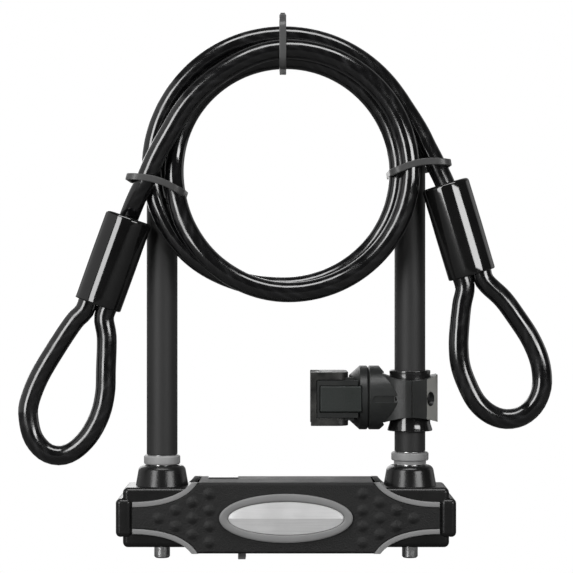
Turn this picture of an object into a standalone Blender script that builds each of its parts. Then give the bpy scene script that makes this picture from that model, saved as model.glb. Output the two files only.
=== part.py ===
"""Bicycle U-lock with a coiled looped-end security cable and a frame bracket.

The lock stands upright: +Z runs up the shackle's legs, +X to the right along the crossbar,
and -Y is the front. The origin is the centre of the crossbar.
Lengths are in millimetres; MM turns them into Blender's metres.
"""
import math

import bmesh
import bpy
from mathutils import Matrix, Vector

MM = 0.001
GAP = 0.3                 # air between two pieces that touch

# Shackle
LEG_X = 62.8              # half the distance between the legs' centre lines
STEEL_R = 6.5             # 13 mm hardened bar
VINYL_R = 7.8             # outside of the vinyl coat
BEND_Z = 174.3            # centre of the bend
SHOULDER_Z = -9.9         # where the foot steps down to its tip
TIP_R = 4.0
TIP_Z = -21.85
NOTCH_DEPTH = 5.0
NOTCH_HALF = 4.6
COLLARS = {"left": (9.2, 25.5, 30.1, 0.0), "right": (9.45, 27.4, 31.7, 1.7)}

# Crossbar
TUBE_HALF = 12.6          # square hardened tube, outside
TUBE_WALL = 2.4
TUBE_END_X = 76.3
MAIN_X = 43.4             # where the cover's full-height middle ends
MAIN_HALF_Z = 17.75
COVER_Y = 17.5            # front and back faces of the covers
PANEL_T = 1.7
HOUSING_X0, HOUSING_X1 = 43.8, 81.6
HOUSING_HALF_Y, HOUSING_HALF_Z = 15.5, 15.0
BOSS_R0, BOSS_R1, BOSS_Z = 14.4, 12.0, 25.1
CAP_X0, CAP_X1 = 76.9, 85.0
CAP_HALF_Z, CAP_HALF_Y = 9.6, 17.3
TRIM_W, TRIM_PROUD = 2.6, 0.4
TRIM_CURVE = ((76.6, 6.7), (62.0, 6.7), (50.5, 10.5), (45.9, 17.2))
BUMP_X, BUMP_DX, BUMP_DZ, BUMP_R, BUMP_H = 63.5, 8.43, 8.05, 2.5, 0.8
BEZEL = (33.3, 12.2)      # half axes of the oval bezel
BADGE = (28.8, 8.2)
LABEL_X, LABEL_Y, LABEL_T = (-39.5, -24.3), (4.0, 14.0), 0.3

# Locking mechanism
BOLT_HALF = 4.0
BOLT_IN, BOLT_OUT = 5.7, 55.8
BOLT_NOSE = 3.5           # length of the bolt's tapered inner end
FLANGE_X0, FLANGE_X1, FLANGE_HALF = 17.6, 19.6, 9.0
SPRING_X, SPRING_LENGTH, SPRING_TURNS, SPRING_R, WIRE_R = 20.6, 4.05, 3, 7.6, 0.5
GUIDE_X0, GUIDE_X1 = 30.0, 44.0
BUSH_X0, BUSH_X1 = 52.8, 72.8
CAM_R0, CAM_R1, CAM_HALF_Z = 5.4, 9.9, 3.5
PLUG_R, BARREL_R = 6.0, 8.0
BARREL_Z0, BARREL_Z1 = -14.9, -4.6
LEG_CLEAR, TIP_CLEAR = 0.6, 0.6
SLOT_X0, SLOT_X1 = -42.0, 10.0
SHUTTER_X0, SHUTTER_X1 = -25.5, 8.5

# Cable and its coil
CABLE_R = 5.0
COIL_X, COIL_Z = -1.0, 176.2
COIL_RI, COIL_RO = 52.5, 69.0
COIL_Y0, COIL_Y1 = -28.2, -8.4
BOOT_R, FERRULE_R = 12.0, 10.5
STRAND_OFF = 5.2          # each strand of an end loop from the boot's axis
BOOT_TOP = {"left": (-78.5, -14.0, 150.1), "right": (79.5, -14.0, 166.7)}
BOOT_END = {"left": (-94.2, -14.0, 106.4), "right": (93.0, -14.0, 121.4)}
LEAD_ROUTE = {
    "left": ((-62.5, -20.0, 184.0), (-70.0, -17.0, 170.0)),
    "right": ((63.5, -15.5, 198.0), (69.0, -15.0, 187.0)),
}
LOOP_ROUTE = {
    "left": ((-106.0, 98.0), (-115.0, 84.5), (-123.5, 70.0), (-128.3, 57.5), (-128.7, 49.5),
             (-126.4, 40.0), (-120.7, 33.2), (-113.3, 31.0), (-105.9, 33.6), (-98.4, 41.0), (-92.9, 51.5),
             (-90.4, 62.5), (-90.0, 74.0), (-89.6, 90.0)),
    "right": ((87.8, 106.3), (86.6, 94.0), (86.3, 85.0), (87.2, 76.0), (90.3, 67.0),
              (95.1, 57.9), (101.8, 51.8), (109.6, 49.2), (117.6, 50.6), (124.1, 56.1), (127.6, 64.1),
              (127.9, 71.9), (126.1, 80.4), (121.8, 90.0), (115.6, 99.5), (108.4, 109.3)),
}
LOOP_TUCK = 2.8           # how far a loop's two strands reach into the ferrule
TIE_W, TIE_T, TIE_CORNER = 3.4, 1.2, 4.5

# Frame bracket
HUB_Z = 59.2
LINER_RI, LINER_RO = 8.15, 10.3
CLAMP_R = 17.4            # outside of the clamp's inner half, about the leg
CLAMP_HALF_Z, CLAMP_WAIST = 11.9, 2.7
SCREW_Y = 13.6
DRUM_R, DRUM_SEAM_X = 16.2, 41.5
ARM_X0, ARM_HALF_Z = 15.6, 9.3
SADDLE_X0, SADDLE_X1 = 12.4, 31.2
SADDLE_HALF_Y, SADDLE_HALF_Z = 15.5, 13.4
TROUGH_X, TROUGH_R = 0.8, 17.6

SIDES = (("left", -1), ("right", 1))

parts = None
cutters = None


def start_scene():
    """Empty the scene and make one collection for the lock and one for the cutters."""
    global parts, cutters
    for old in list(bpy.data.objects):
        bpy.data.objects.remove(old, do_unlink=True)
    parts = bpy.data.collections.new("u_lock")
    cutters = bpy.data.collections.new("u_lock_cutters")
    bpy.context.scene.collection.children.link(parts)
    bpy.context.scene.collection.children.link(cutters)


def material(name, colour, roughness, metallic=0.0):
    """One Principled material."""
    mat = bpy.data.materials.new(name)
    mat.use_nodes = True
    shader = mat.node_tree.nodes["Principled BSDF"]
    shader.inputs["Base Color"].default_value = (*colour, 1.0)
    shader.inputs["Roughness"].default_value = roughness
    shader.inputs["Metallic"].default_value = metallic
    return mat


def make_materials():
    """Every finish on the lock."""
    return {
        "steel": material("hardened_steel", (0.45, 0.45, 0.46), 0.35, 1.0),
        "chrome": material("plated_steel", (0.75, 0.75, 0.76), 0.15, 1.0),
        "vinyl": material("vinyl_coat", (0.03, 0.03, 0.03), 0.45),
        "cable": material("cable_jacket", (0.012, 0.012, 0.012), 0.18),
        "aluminium": material("crimped_aluminium", (0.6, 0.6, 0.6), 0.4, 1.0),
        "cover": material("textured_cover", (0.02, 0.02, 0.02), 0.7),
        "housing": material("gloss_housing", (0.015, 0.015, 0.015), 0.3),
        "trim": material("grey_trim", (0.25, 0.25, 0.25), 0.5),
        "badge": material("silver_badge", (0.7, 0.7, 0.7), 0.35, 0.6),
        "nylon": material("nylon_tie", (0.01, 0.01, 0.01), 0.4),
        "bracket": material("bracket_plastic", (0.03, 0.032, 0.03), 0.4),
        "rubber": material("bracket_rubber", (0.02, 0.02, 0.02), 0.6),
        "brass": material("brass", (0.7, 0.55, 0.25), 0.35, 1.0),
    }


def add(name, mesh, mat, place=None):
    """Put a mesh into the scene as one named piece."""
    piece = bpy.data.objects.new(name, mesh)
    mesh.materials.clear()
    mesh.materials.append(mat)
    if place is not None:
        piece.matrix_world = place
    parts.objects.link(piece)
    return piece


def cutter(mesh, place=None):
    """Put a mesh into the cutters' collection, hidden from renders."""
    tool = bpy.data.objects.new("cutter", mesh)
    if place is not None:
        tool.matrix_world = place
    tool.hide_render = True
    tool.display_type = "WIRE"
    cutters.objects.link(tool)
    return tool


def boolean(piece, tool, operation="DIFFERENCE"):
    """Cut a piece with a tool, or join the tool to it."""
    step = piece.modifiers.new(operation.lower(), "BOOLEAN")
    step.operation = operation
    step.solver = "EXACT"
    step.object = tool


def bevel(piece, width, segments=2, angle=40.0):
    """Round the edges that are sharper than an angle."""
    step = piece.modifiers.new("bevel", "BEVEL")
    step.width = width * MM
    step.segments = segments
    step.limit_method = "ANGLE"
    step.angle_limit = math.radians(angle)
    step.harden_normals = False


def smooth(mesh, angle=35.0):
    """Shade a round mesh smooth, apart from its sharp edges."""
    mesh.shade_smooth()
    mesh.set_sharp_from_angle(angle=math.radians(angle))
    return mesh


def box_mesh(low, high):
    """A box between two corners."""
    shape = bmesh.new()
    bmesh.ops.create_cube(shape, size=1.0)
    low, high = Vector(low) * MM, Vector(high) * MM
    bmesh.ops.scale(shape, vec=high - low, verts=shape.verts)
    bmesh.ops.translate(shape, vec=(low + high) / 2, verts=shape.verts)
    return to_mesh(shape)


def to_mesh(shape):
    """Finish a bmesh as a mesh."""
    mesh = bpy.data.meshes.new("mesh")
    shape.to_mesh(mesh)
    shape.free()
    return mesh


def rod_mesh(start, end, radius, end_radius=None, sides=24):
    """A cylinder or cone between two points."""
    start, end = Vector(start) * MM, Vector(end) * MM
    turn = Vector((0, 0, 1)).rotation_difference(end - start).to_matrix().to_4x4()
    shape = bmesh.new()
    bmesh.ops.create_cone(
        shape, cap_ends=True, segments=sides, radius1=radius * MM,
        radius2=(radius if end_radius is None else end_radius) * MM, depth=(end - start).length,
        matrix=Matrix.Translation((start + end) / 2) @ turn)
    return smooth(to_mesh(shape))


def turned(name, profile, mat, place=None, steps=32, closed=True):
    """A turned piece: (radius, height) pairs run down its outside, then back up its inside."""
    mesh = bpy.data.meshes.new(name)
    points = [(radius * MM, 0.0, height * MM) for radius, height in profile]
    edges = [(i, i + 1) for i in range(len(points) - 1)]
    if closed:
        edges.append((len(points) - 1, 0))
    mesh.from_pydata(points, edges, [])
    piece = add(name, mesh, mat, place)
    step = piece.modifiers.new("turn", "SCREW")
    step.steps = steps
    step.render_steps = steps
    step.use_merge_vertices = True
    step.merge_threshold = 0.00001
    step.use_smooth_shade = True
    return piece


def curve_mesh(curve, name="mesh"):
    """Turn a curve's data into a closed mesh with welded caps."""
    holder = bpy.data.objects.new("holder", curve)
    bpy.context.scene.collection.objects.link(holder)
    seen = holder.evaluated_get(bpy.context.evaluated_depsgraph_get())
    mesh = bpy.data.meshes.new_from_object(seen)
    bpy.data.objects.remove(holder, do_unlink=True)
    shape = bmesh.new()
    shape.from_mesh(mesh)
    bmesh.ops.remove_doubles(shape, verts=shape.verts, dist=0.00001)
    bmesh.ops.recalc_face_normals(shape, faces=shape.faces)
    shape.to_mesh(mesh)
    shape.free()
    mesh.name = name
    return mesh


def tube_mesh(points, radius, sides_level=4, cyclic=False):
    """A round bar along a row of points."""
    curve = bpy.data.curves.new("route", "CURVE")
    curve.dimensions = "3D"
    curve.bevel_depth = radius * MM
    curve.bevel_resolution = sides_level
    curve.use_fill_caps = not cyclic
    line = curve.splines.new("POLY")
    line.points.add(len(points) - 1)
    for spot, point in zip(line.points, points):
        spot.co = (*(Vector(point) * MM), 1.0)
    line.use_cyclic_u = cyclic
    return smooth(curve_mesh(curve), 50.0)


def plate_mesh(outline, front, back, holes=()):
    """A flat plate: an outline of (x, z) points between two depths along Y."""
    curve = bpy.data.curves.new("outline", "CURVE")
    curve.dimensions = "2D"
    curve.fill_mode = "BOTH"
    curve.extrude = (back - front) / 2 * MM
    for ring in (outline, *holes):
        line = curve.splines.new("POLY")
        line.points.add(len(ring) - 1)
        for spot, (x, z) in zip(line.points, ring):
            spot.co = (x * MM, z * MM, 0.0, 1.0)
        line.use_cyclic_u = True
    mesh = curve_mesh(curve)
    middle = (front + back) / 2 * MM
    mesh.transform(Matrix.Translation((0, middle, 0)) @ Matrix.Rotation(math.pi / 2, 4, "X"))
    return mesh


def slab_mesh(outline, low, high, holes=()):
    """A flat plate: an outline of (x, y) points between two heights along Z."""
    mesh = plate_mesh(outline, -high, -low, holes)
    mesh.transform(Matrix.Rotation(-math.pi / 2, 4, "X"))
    return mesh


def ends(side, near, far):
    """Two distances from the middle as low and high X on one side."""
    return min(side * near, side * far), max(side * near, side * far)


def arc(centre, radius, start, end, count):
    """Points along an arc, angles in degrees."""
    angles = [math.radians(start + (end - start) * i / count) for i in range(count + 1)]
    return [(centre[0] + radius * math.cos(a), centre[1] + radius * math.sin(a)) for a in angles]


def ellipse(half_x, half_z, count=36):
    """Points round an ellipse about the origin."""
    angles = [2 * math.pi * i / count for i in range(count)]
    return [(half_x * math.cos(a), half_z * math.sin(a)) for a in angles]


def rounded(low, high, radius, count=4):
    """A rectangle with round corners."""
    ring = []
    for x, y, start in ((high[0] - radius, high[1] - radius, 0), (low[0] + radius, high[1] - radius, 90),
                        (low[0] + radius, low[1] + radius, 180), (high[0] - radius, low[1] + radius, 270)):
        ring += arc((x, y), radius, start, start + 90, count)
    return ring


def smooth_route(points, spacing):
    """Points an even step apart along a smooth curve through a cord's route."""
    route = [Vector(p) for p in points]
    padded = [2 * route[0] - route[1], *route, 2 * route[-1] - route[-2]]
    fine = []
    for a, b, c, d in zip(padded, padded[1:], padded[2:], padded[3:]):
        for i in range(20):
            t = i / 20
            fine.append(0.5 * (2 * b + (c - a) * t + (2 * a - 5 * b + 4 * c - d) * t * t
                               + (3 * b - a - 3 * c + d) * t ** 3))
    fine.append(route[-1])
    lengths = [0.0]
    for a, b in zip(fine, fine[1:]):
        lengths.append(lengths[-1] + (b - a).length)
    count = max(2, round(lengths[-1] / spacing))
    even, at = [], 0
    for i in range(count + 1):
        wanted = lengths[-1] * i / count
        while at < len(fine) - 2 and lengths[at + 1] < wanted:
            at += 1
        share = (wanted - lengths[at]) / max(1e-9, lengths[at + 1] - lengths[at])
        even.append(fine[at].lerp(fine[at + 1], min(1.0, share)))
    return even


def bezier(controls, count):
    """Points along a cubic Bezier curve."""
    a, b, c, d = (Vector(p) for p in controls)
    steps = [i / count for i in range(count + 1)]
    return [a * (1 - t) ** 3 + 3 * b * t * (1 - t) ** 2 + 3 * c * t * t * (1 - t) + d * t ** 3
            for t in steps]


def offset(points, distance):
    """Shift a flat line sideways, to its left."""
    shifted = []
    for i, point in enumerate(points):
        along = points[min(i + 1, len(points) - 1)] - points[max(i - 1, 0)]
        shifted.append(point + Vector((-along.y, along.x)).normalized() * distance)
    return shifted


# ---------------------------------------------------------------- shackle
def shackle_line(low):
    """Centre line of the U, both legs down to a height given for each."""
    bend = [(x, 0.0, z) for x, z in arc((0, BEND_Z), LEG_X, 0, 180, 22)]
    return [(LEG_X, 0.0, low["right"]), *bend, (-LEG_X, 0.0, low["left"])]


def make_shackle(finish):
    """The steel U with its stepped feet, the vinyl coat and the grey collars."""
    line = shackle_line({"left": SHOULDER_Z, "right": SHOULDER_Z})
    core = add("shackle_core", tube_mesh(line, STEEL_R, 4), finish["steel"])
    for _, side in SIDES:
        x = side * LEG_X
        boolean(core, cutter(rod_mesh((x, 0, TIP_Z), (x, 0, SHOULDER_Z + 2), TIP_R, sides=24)), "UNION")
        near, far = ends(side, LEG_X - STEEL_R - 2, LEG_X - STEEL_R + NOTCH_DEPTH)
        boolean(core, cutter(box_mesh((near, -8, -NOTCH_HALF), (far, 8, NOTCH_HALF))))
    coat_end = {name: top + GAP for name, (_, _, top, _) in COLLARS.items()}
    coat = add("shackle_sleeve", tube_mesh(shackle_line(coat_end), VINYL_R, 4), finish["vinyl"])
    bore_end = {name: top - 5 for name, (_, _, top, _) in COLLARS.items()}
    boolean(coat, cutter(tube_mesh(shackle_line(bore_end), STEEL_R + GAP, 4)))
    for name, side in SIDES:
        radius, low, high, neck = COLLARS[name]
        ring = [(radius - 0.4, high), (radius, high - 0.4), (radius, low + 0.4), (radius - 0.4, low)]
        if neck:
            ring += [(radius - 1.0, low), (radius - 1.0, low - neck)]
        ring += [(STEEL_R + GAP, ring[-1][1]), (STEEL_R + GAP, high)]
        turned(f"{name}_collar", ring, finish["trim"], Matrix.Translation((side * LEG_X * MM, 0, 0)))


# ---------------------------------------------------------------- crossbar
def trim_line():
    """Centre line of a trim strip in the first quarter of the crossbar's face."""
    return bezier(TRIM_CURVE, 10)


def panel_outline():
    """Outline of a cover's face: the full-height middle and the waisted wings."""
    inner = offset(trim_line(), TRIM_W / 2 + GAP)
    quarter = [(p.x, p.y) for p in inner if p.y < MAIN_HALF_Z - 0.6]
    quarter.append((MAIN_X, MAIN_HALF_Z))
    ring = quarter + [(-x, z) for x, z in reversed(quarter)]
    ring += [(-x, -z) for x, z in quarter] + [(x, -z) for x, z in reversed(quarter)]
    return ring


def make_covers(finish):
    """Front and back covers: a textured face over half a sleeve round the steel tube."""
    barrel_hole = rod_mesh((0, 0, -16), (0, 0, -11), BARREL_R + GAP)
    shutter_mouth = box_mesh((SLOT_X0, -7, -19), (SLOT_X1, 7, -16.5))
    shutter_slot = box_mesh((SLOT_X0, -8.6, -16.95), (SLOT_X1, 8.6, -15.2))
    cavity = box_mesh((-60, -TUBE_HALF - GAP, -TUBE_HALF - GAP), (60, TUBE_HALF + GAP, TUBE_HALF + GAP))
    for name, side in (("front", -1), ("back", 1)):
        faces = sorted((side * COVER_Y, side * (COVER_Y - PANEL_T)))
        cover = add(f"{name}_cover", plate_mesh(panel_outline(), *faces), finish["cover"])
        depth = sorted((side * (COVER_Y - 1.0), side * GAP / 2))
        sleeve = box_mesh((-MAIN_X, depth[0], -MAIN_HALF_Z), (MAIN_X, depth[1], MAIN_HALF_Z))
        boolean(cover, cutter(sleeve), "UNION")
        for tool in (cavity, barrel_hole, shutter_mouth, shutter_slot):
            boolean(cover, cutter(tool))
        boolean(cover, cutter(bumps_mesh(side)), "UNION")


def bumps_mesh(side):
    """The grip bumps of one face: low domes in a triangle at each end."""
    shape = bmesh.new()
    sunk = 0.6
    outward = Matrix.Rotation(-side * math.pi / 2, 4, "X")
    for end in (-1, 1):
        for column in range(4):
            for row in range(column + 1):
                x = end * (BUMP_X - BUMP_DX * column)
                z = BUMP_DZ * (row - column / 2)
                middle = Vector((x, side * (COVER_Y + (BUMP_H - sunk) / 2), z)) * MM
                bmesh.ops.create_cone(
                    shape, cap_ends=True, segments=8, radius1=BUMP_R * MM, radius2=BUMP_R * 0.45 * MM,
                    depth=(BUMP_H + sunk) * MM, matrix=Matrix.Translation(middle) @ outward)
    return to_mesh(shape)


def make_trims(finish):
    """Grey strips that edge the wings, four on each face."""
    line = trim_line()
    strip = offset(line, TRIM_W / 2) + list(reversed(offset(line, -TRIM_W / 2)))
    for face, front in (("front", -1), ("back", 1)):
        depth = sorted((front * (COVER_Y + TRIM_PROUD), front * (HOUSING_HALF_Y + GAP)))
        for level, up in (("upper", 1), ("lower", -1)):
            for name, side in SIDES:
                ring = [(side * p.x, up * p.y) for p in strip]
                add(f"{face}_trim_{level}_{name}", plate_mesh(ring, *depth), finish["trim"])


def make_badge(finish):
    """Oval bezel and plain silver badge on the front, and the blank label on top."""
    front = -COVER_Y - GAP
    hole = ellipse(BADGE[0] + GAP, BADGE[1] + GAP)
    add("badge_bezel", plate_mesh(ellipse(*BEZEL), front - 1.3, front, (hole,)), finish["trim"])
    add("badge_plate", plate_mesh(ellipse(*BADGE), front - 1.7, front), finish["badge"])
    top = MAIN_HALF_Z + GAP
    label = box_mesh((LABEL_X[0], LABEL_Y[0], top), (LABEL_X[1], LABEL_Y[1], top + LABEL_T))
    add("label_plate", label, finish["badge"])


def make_ends(finish):
    """End housings with their bosses, and the glossy end caps."""
    half = TUBE_HALF + GAP
    for name, side in SIDES:
        x0, x1 = ends(side, HOUSING_X0, HOUSING_X1)
        body = box_mesh((x0, -HOUSING_HALF_Y, -HOUSING_HALF_Z), (x1, HOUSING_HALF_Y, HOUSING_HALF_Z))
        housing = add(f"{name}_end_housing", body, finish["housing"])
        bevel(housing, 3.0, 2)
        x = side * LEG_X
        boolean(housing, cutter(rod_mesh((x, 0, 9), (x, 0, BOSS_Z), BOSS_R0, BOSS_R1, 32)), "UNION")
        x0, x1 = ends(side, HOUSING_X0 - 5, TUBE_END_X + GAP)
        boolean(housing, cutter(box_mesh((x0, -half, -half), (x1, half, half))))
        boolean(housing, cutter(rod_mesh((x, 0, 5), (x, 0, BOSS_Z + 5), STEEL_R + LEG_CLEAR)))
        boolean(housing, cutter(rod_mesh((x, 0, -20), (x, 0, -5), TIP_R + TIP_CLEAR)))
        x0, x1 = ends(side, CAP_X0, CAP_X1)
        shell = box_mesh((x0, -CAP_HALF_Y, -CAP_HALF_Z), (x1, CAP_HALF_Y, CAP_HALF_Z))
        cap = add(f"{name}_end_cap", shell, finish["housing"])
        bevel(cap, 3.0, 2)
        x0, x1 = ends(side, CAP_X0 - 5, HOUSING_X1 + GAP)
        inside = HOUSING_HALF_Y + GAP
        boolean(cap, cutter(box_mesh((x0, -inside, -20), (x1, inside, 20))))


# ---------------------------------------------------------------- mechanism
def make_tube(finish):
    """Square hardened tube, open at its ends, with holes for the feet and the cylinder."""
    tube = add("lock_tube", box_mesh((-TUBE_END_X, -TUBE_HALF, -TUBE_HALF),
                                     (TUBE_END_X, TUBE_HALF, TUBE_HALF)), finish["steel"])
    room = TUBE_HALF - TUBE_WALL
    boolean(tube, cutter(box_mesh((-90, -room, -room), (90, room, room))))
    for _, side in SIDES:
        x = side * LEG_X
        boolean(tube, cutter(rod_mesh((x, 0, 5), (x, 0, 20), STEEL_R + LEG_CLEAR)))
        boolean(tube, cutter(rod_mesh((x, 0, -20), (x, 0, -5), TIP_R + 0.4)))
    boolean(tube, cutter(rod_mesh((0, 0, -20), (0, 0, -5), BARREL_R + GAP)))


def make_bolts(finish):
    """The two sliding bolts with their springs, and the guides and receivers that they run in."""
    room = TUBE_HALF - TUBE_WALL - GAP
    hole = BOLT_HALF + GAP
    for name, side in SIDES:
        x = side * LEG_X
        x0, x1 = ends(side, BUSH_X0, BUSH_X1)
        bush = add(f"{name}_receiver_bush", box_mesh((x0, -room, -room), (x1, room, room)), finish["steel"])
        boolean(bush, cutter(rod_mesh((x, 0, -30), (x, 0, 30), STEEL_R + 0.35, sides=48)))
        x0, x1 = ends(side, BUSH_X0 - 3, LEG_X - 3)
        boolean(bush, cutter(box_mesh((x0, -hole, -hole), (x1, hole, hole))))
        x0, x1 = ends(side, GUIDE_X0, GUIDE_X1)
        guide = add(f"{name}_bolt_guide", box_mesh((x0, -room, -room), (x1, room, room)), finish["steel"])
        x0, x1 = ends(side, GUIDE_X0 - 2, GUIDE_X1 + 2)
        boolean(guide, cutter(box_mesh((x0, -hole, -hole), (x1, hole, hole))))
        nose = [(side * BOLT_IN, -0.5), (side * (BOLT_IN + BOLT_NOSE), -BOLT_HALF),
                (side * BOLT_OUT, -BOLT_HALF), (side * BOLT_OUT, BOLT_HALF),
                (side * (BOLT_IN + BOLT_NOSE), BOLT_HALF), (side * BOLT_IN, 0.5)]
        bolt = add(f"{name}_bolt", slab_mesh(nose, -BOLT_HALF, BOLT_HALF), finish["steel"])
        x0, x1 = ends(side, FLANGE_X0, FLANGE_X1)
        flange = box_mesh((x0, -FLANGE_HALF, -FLANGE_HALF), (x1, FLANGE_HALF, FLANGE_HALF))
        boolean(bolt, cutter(flange), "UNION")
        helix = []
        points = 10 * SPRING_TURNS
        for i in range(points + 1):
            turn = 2 * math.pi * SPRING_TURNS * i / points
            along = SPRING_X + SPRING_LENGTH * i / points
            helix.append((side * along, SPRING_R * math.cos(turn), SPRING_R * math.sin(turn)))
        add(f"{name}_bolt_spring", tube_mesh(helix, WIRE_R, 1), finish["steel"])


def make_cylinder(finish):
    """The key cylinder's barrel, plug and cam, and the shutter that slides over the keyhole."""
    bore = PLUG_R + GAP
    barrel = [(BARREL_R, BARREL_Z1), (BARREL_R, BARREL_Z0), (bore, BARREL_Z0), (bore, BARREL_Z1)]
    turned("cylinder_housing", barrel, finish["brass"])
    core = rod_mesh((0, 0, BARREL_Z0), (0, 0, BARREL_Z1 + 0.2), PLUG_R, sides=32)
    plug = add("key_plug", core, finish["brass"])
    boolean(plug, cutter(box_mesh((-3.2, -0.7, -16), (3.2, 0.7, -6))))
    outline = []
    for i in range(48):
        degrees = i * 7.5
        along_lens = abs((degrees + 90) % 180 - 90) / 90
        radius = CAM_R0 + (CAM_R1 - CAM_R0) * along_lens
        outline.append((radius * math.cos(math.radians(degrees)), radius * math.sin(math.radians(degrees))))
    add("cylinder_cam", slab_mesh(outline, -CAM_HALF_Z, CAM_HALF_Z), finish["steel"])
    plate = box_mesh((SHUTTER_X0, -8.3, -16.65), (SHUTTER_X1, 8.3, -15.5))
    shutter = add("keyhole_shutter", plate, finish["trim"])
    boolean(shutter, cutter(box_mesh((SHUTTER_X0, -6.7, -17.6), (SHUTTER_X1, 6.7, -16.0))), "UNION")
    finger_tab = box_mesh((SHUTTER_X0 + 1.3, -5.0, -22.2), (SHUTTER_X0 + 5.1, 5.0, -17.0))
    boolean(shutter, cutter(finger_tab), "UNION")


# ---------------------------------------------------------------- cable
def ring_cutter(section, place):
    """A cutter turned from a closed section round the coil's axis."""
    ring = bpy.data.meshes.new("ring")
    spots = [(radius * MM, 0.0, y * MM) for radius, y in section]
    ring.from_pydata(spots, [(i, (i + 1) % len(spots)) for i in range(len(spots))], [])
    tool = cutter(ring, place)
    step = tool.modifiers.new("turn", "SCREW")
    step.steps = 44
    step.render_steps = 44
    step.use_merge_vertices = True
    step.merge_threshold = 0.00001
    return tool


def make_cable(finish):
    """The coil, the two leads and end loops, and their crimped ferrules and boots."""
    middle = Vector((COIL_X, (COIL_Y0 + COIL_Y1) / 2, COIL_Z)) * MM
    place = Matrix.Translation(middle) @ Matrix.Rotation(math.pi / 2, 4, "X")
    half = (COIL_Y1 - COIL_Y0) / 2
    section = rounded((COIL_RI, -half), (COIL_RO, half), 5.0, 2)
    turned("cable_coil", list(reversed(section)), finish["cable"], place, steps=44)
    grown = rounded((COIL_RI - 6, -half - GAP), (COIL_RO + GAP, half + GAP), 5.0, 2)
    for name, _ in SIDES:
        top, end = Vector(BOOT_TOP[name]), Vector(BOOT_END[name])
        axis = (end - top).normalized()
        route = [*LEAD_ROUTE[name], top - axis * 7.0, top + axis * 1.6]
        lead = add(f"{name}_cable_lead", tube_mesh(smooth_route(route, 8.0), CABLE_R, 3), finish["cable"])
        boolean(lead, ring_cutter(list(reversed(grown)), place))
        across = Vector((-axis.z, 0.0, axis.x)) * STRAND_OFF
        first, last = end - across, end + across
        loop = [(x, top.y, z) for x, z in LOOP_ROUTE[name]]
        route = [first - axis * LOOP_TUCK, first + axis * 5.0, *loop,
                 last + axis * 5.0, last - axis * LOOP_TUCK]
        add(f"{name}_cable_loop", tube_mesh(smooth_route(route, 9.0), CABLE_R, 3), finish["cable"])
        turn = Vector((0, 0, 1)).rotation_difference(axis).to_matrix().to_4x4()
        frame = Matrix.Translation(top * MM) @ turn
        long = (end - top).length
        ferrule = rod_mesh((0, 0, 2.0 + GAP), (0, 0, long - 3.5), FERRULE_R)
        add(f"{name}_ferrule", ferrule, finish["aluminium"], frame)
        skin = FERRULE_R + GAP
        sleeve = [(BOOT_R - 1.5, long), (BOOT_R, long - 1.5), (BOOT_R, 1.5), (BOOT_R - 1.5, 0.0),
                  (CABLE_R + GAP, 0.0), (CABLE_R + GAP, 1.8), (skin, 1.8), (skin, long)]
        turned(f"{name}_boot", sleeve, finish["cable"], frame, steps=24)


def make_tie(name, low, high, head, place, mat):
    """A cable tie: a band round a rectangle with round corners, and its head."""
    hole = rounded(low, high, TIE_CORNER)
    outer_low, outer_high = (low[0] - TIE_T, low[1] - TIE_T), (high[0] + TIE_T, high[1] + TIE_T)
    outside = rounded(outer_low, outer_high, TIE_CORNER + TIE_T)
    piece = add(name, plate_mesh(outside, -TIE_W / 2, TIE_W / 2, (hole,)), mat, place)
    boolean(piece, cutter(box_mesh(*head), place), "UNION")


def side_tie_place(x, z, tilt):
    """Where a side tie's band lies: level across a leg, then tilted in the view from the front."""
    level = Matrix.Rotation(-math.pi / 2, 4, "X")
    return Matrix.Translation((x * MM, 0, z * MM)) @ Matrix.Rotation(math.radians(tilt), 4, "Y") @ level


def make_ties(finish):
    """Three cable ties, each round the coil's strands and the shackle behind them."""
    upright = Matrix.Translation((-2.0 * MM, 0, 0)) @ Matrix.Rotation(math.pi / 2, 4, "Z")
    make_tie("top_cable_tie", (-28.6, 222.9), (8.4, 247.2), ((-23.5, -2.6, 247.6), (-17.5, 2.6, 252.0)),
             upright, finish["nylon"])
    make_tie("left_cable_tie", (-14.0, -28.6), (15.2, 8.6), ((-5, -2.6, 8.9), (1, 2.6, 12.2)),
             side_tie_place(-65.0, 166.0, 16), finish["nylon"])
    make_tie("right_cable_tie", (-15.4, -28.6), (17.6, 8.6), ((-4, -2.6, 8.9), (2, 2.6, 12.2)),
             side_tie_place(65.0, 174.0, -4), finish["nylon"])


# ---------------------------------------------------------------- bracket
def bobbin(piece):
    """Hollow a clamp half's top and bottom edges, so that it is waisted at the leg."""
    reach = CLAMP_R - 4.0
    radius = (reach ** 2 + CLAMP_WAIST ** 2) / (2 * CLAMP_WAIST)
    for up in (-1, 1):
        z = HUB_Z + up * (CLAMP_HALF_Z - CLAMP_WAIST + radius)
        boolean(piece, cutter(rod_mesh((LEG_X, -25, z), (LEG_X, 25, z), radius, sides=64)))


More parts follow.
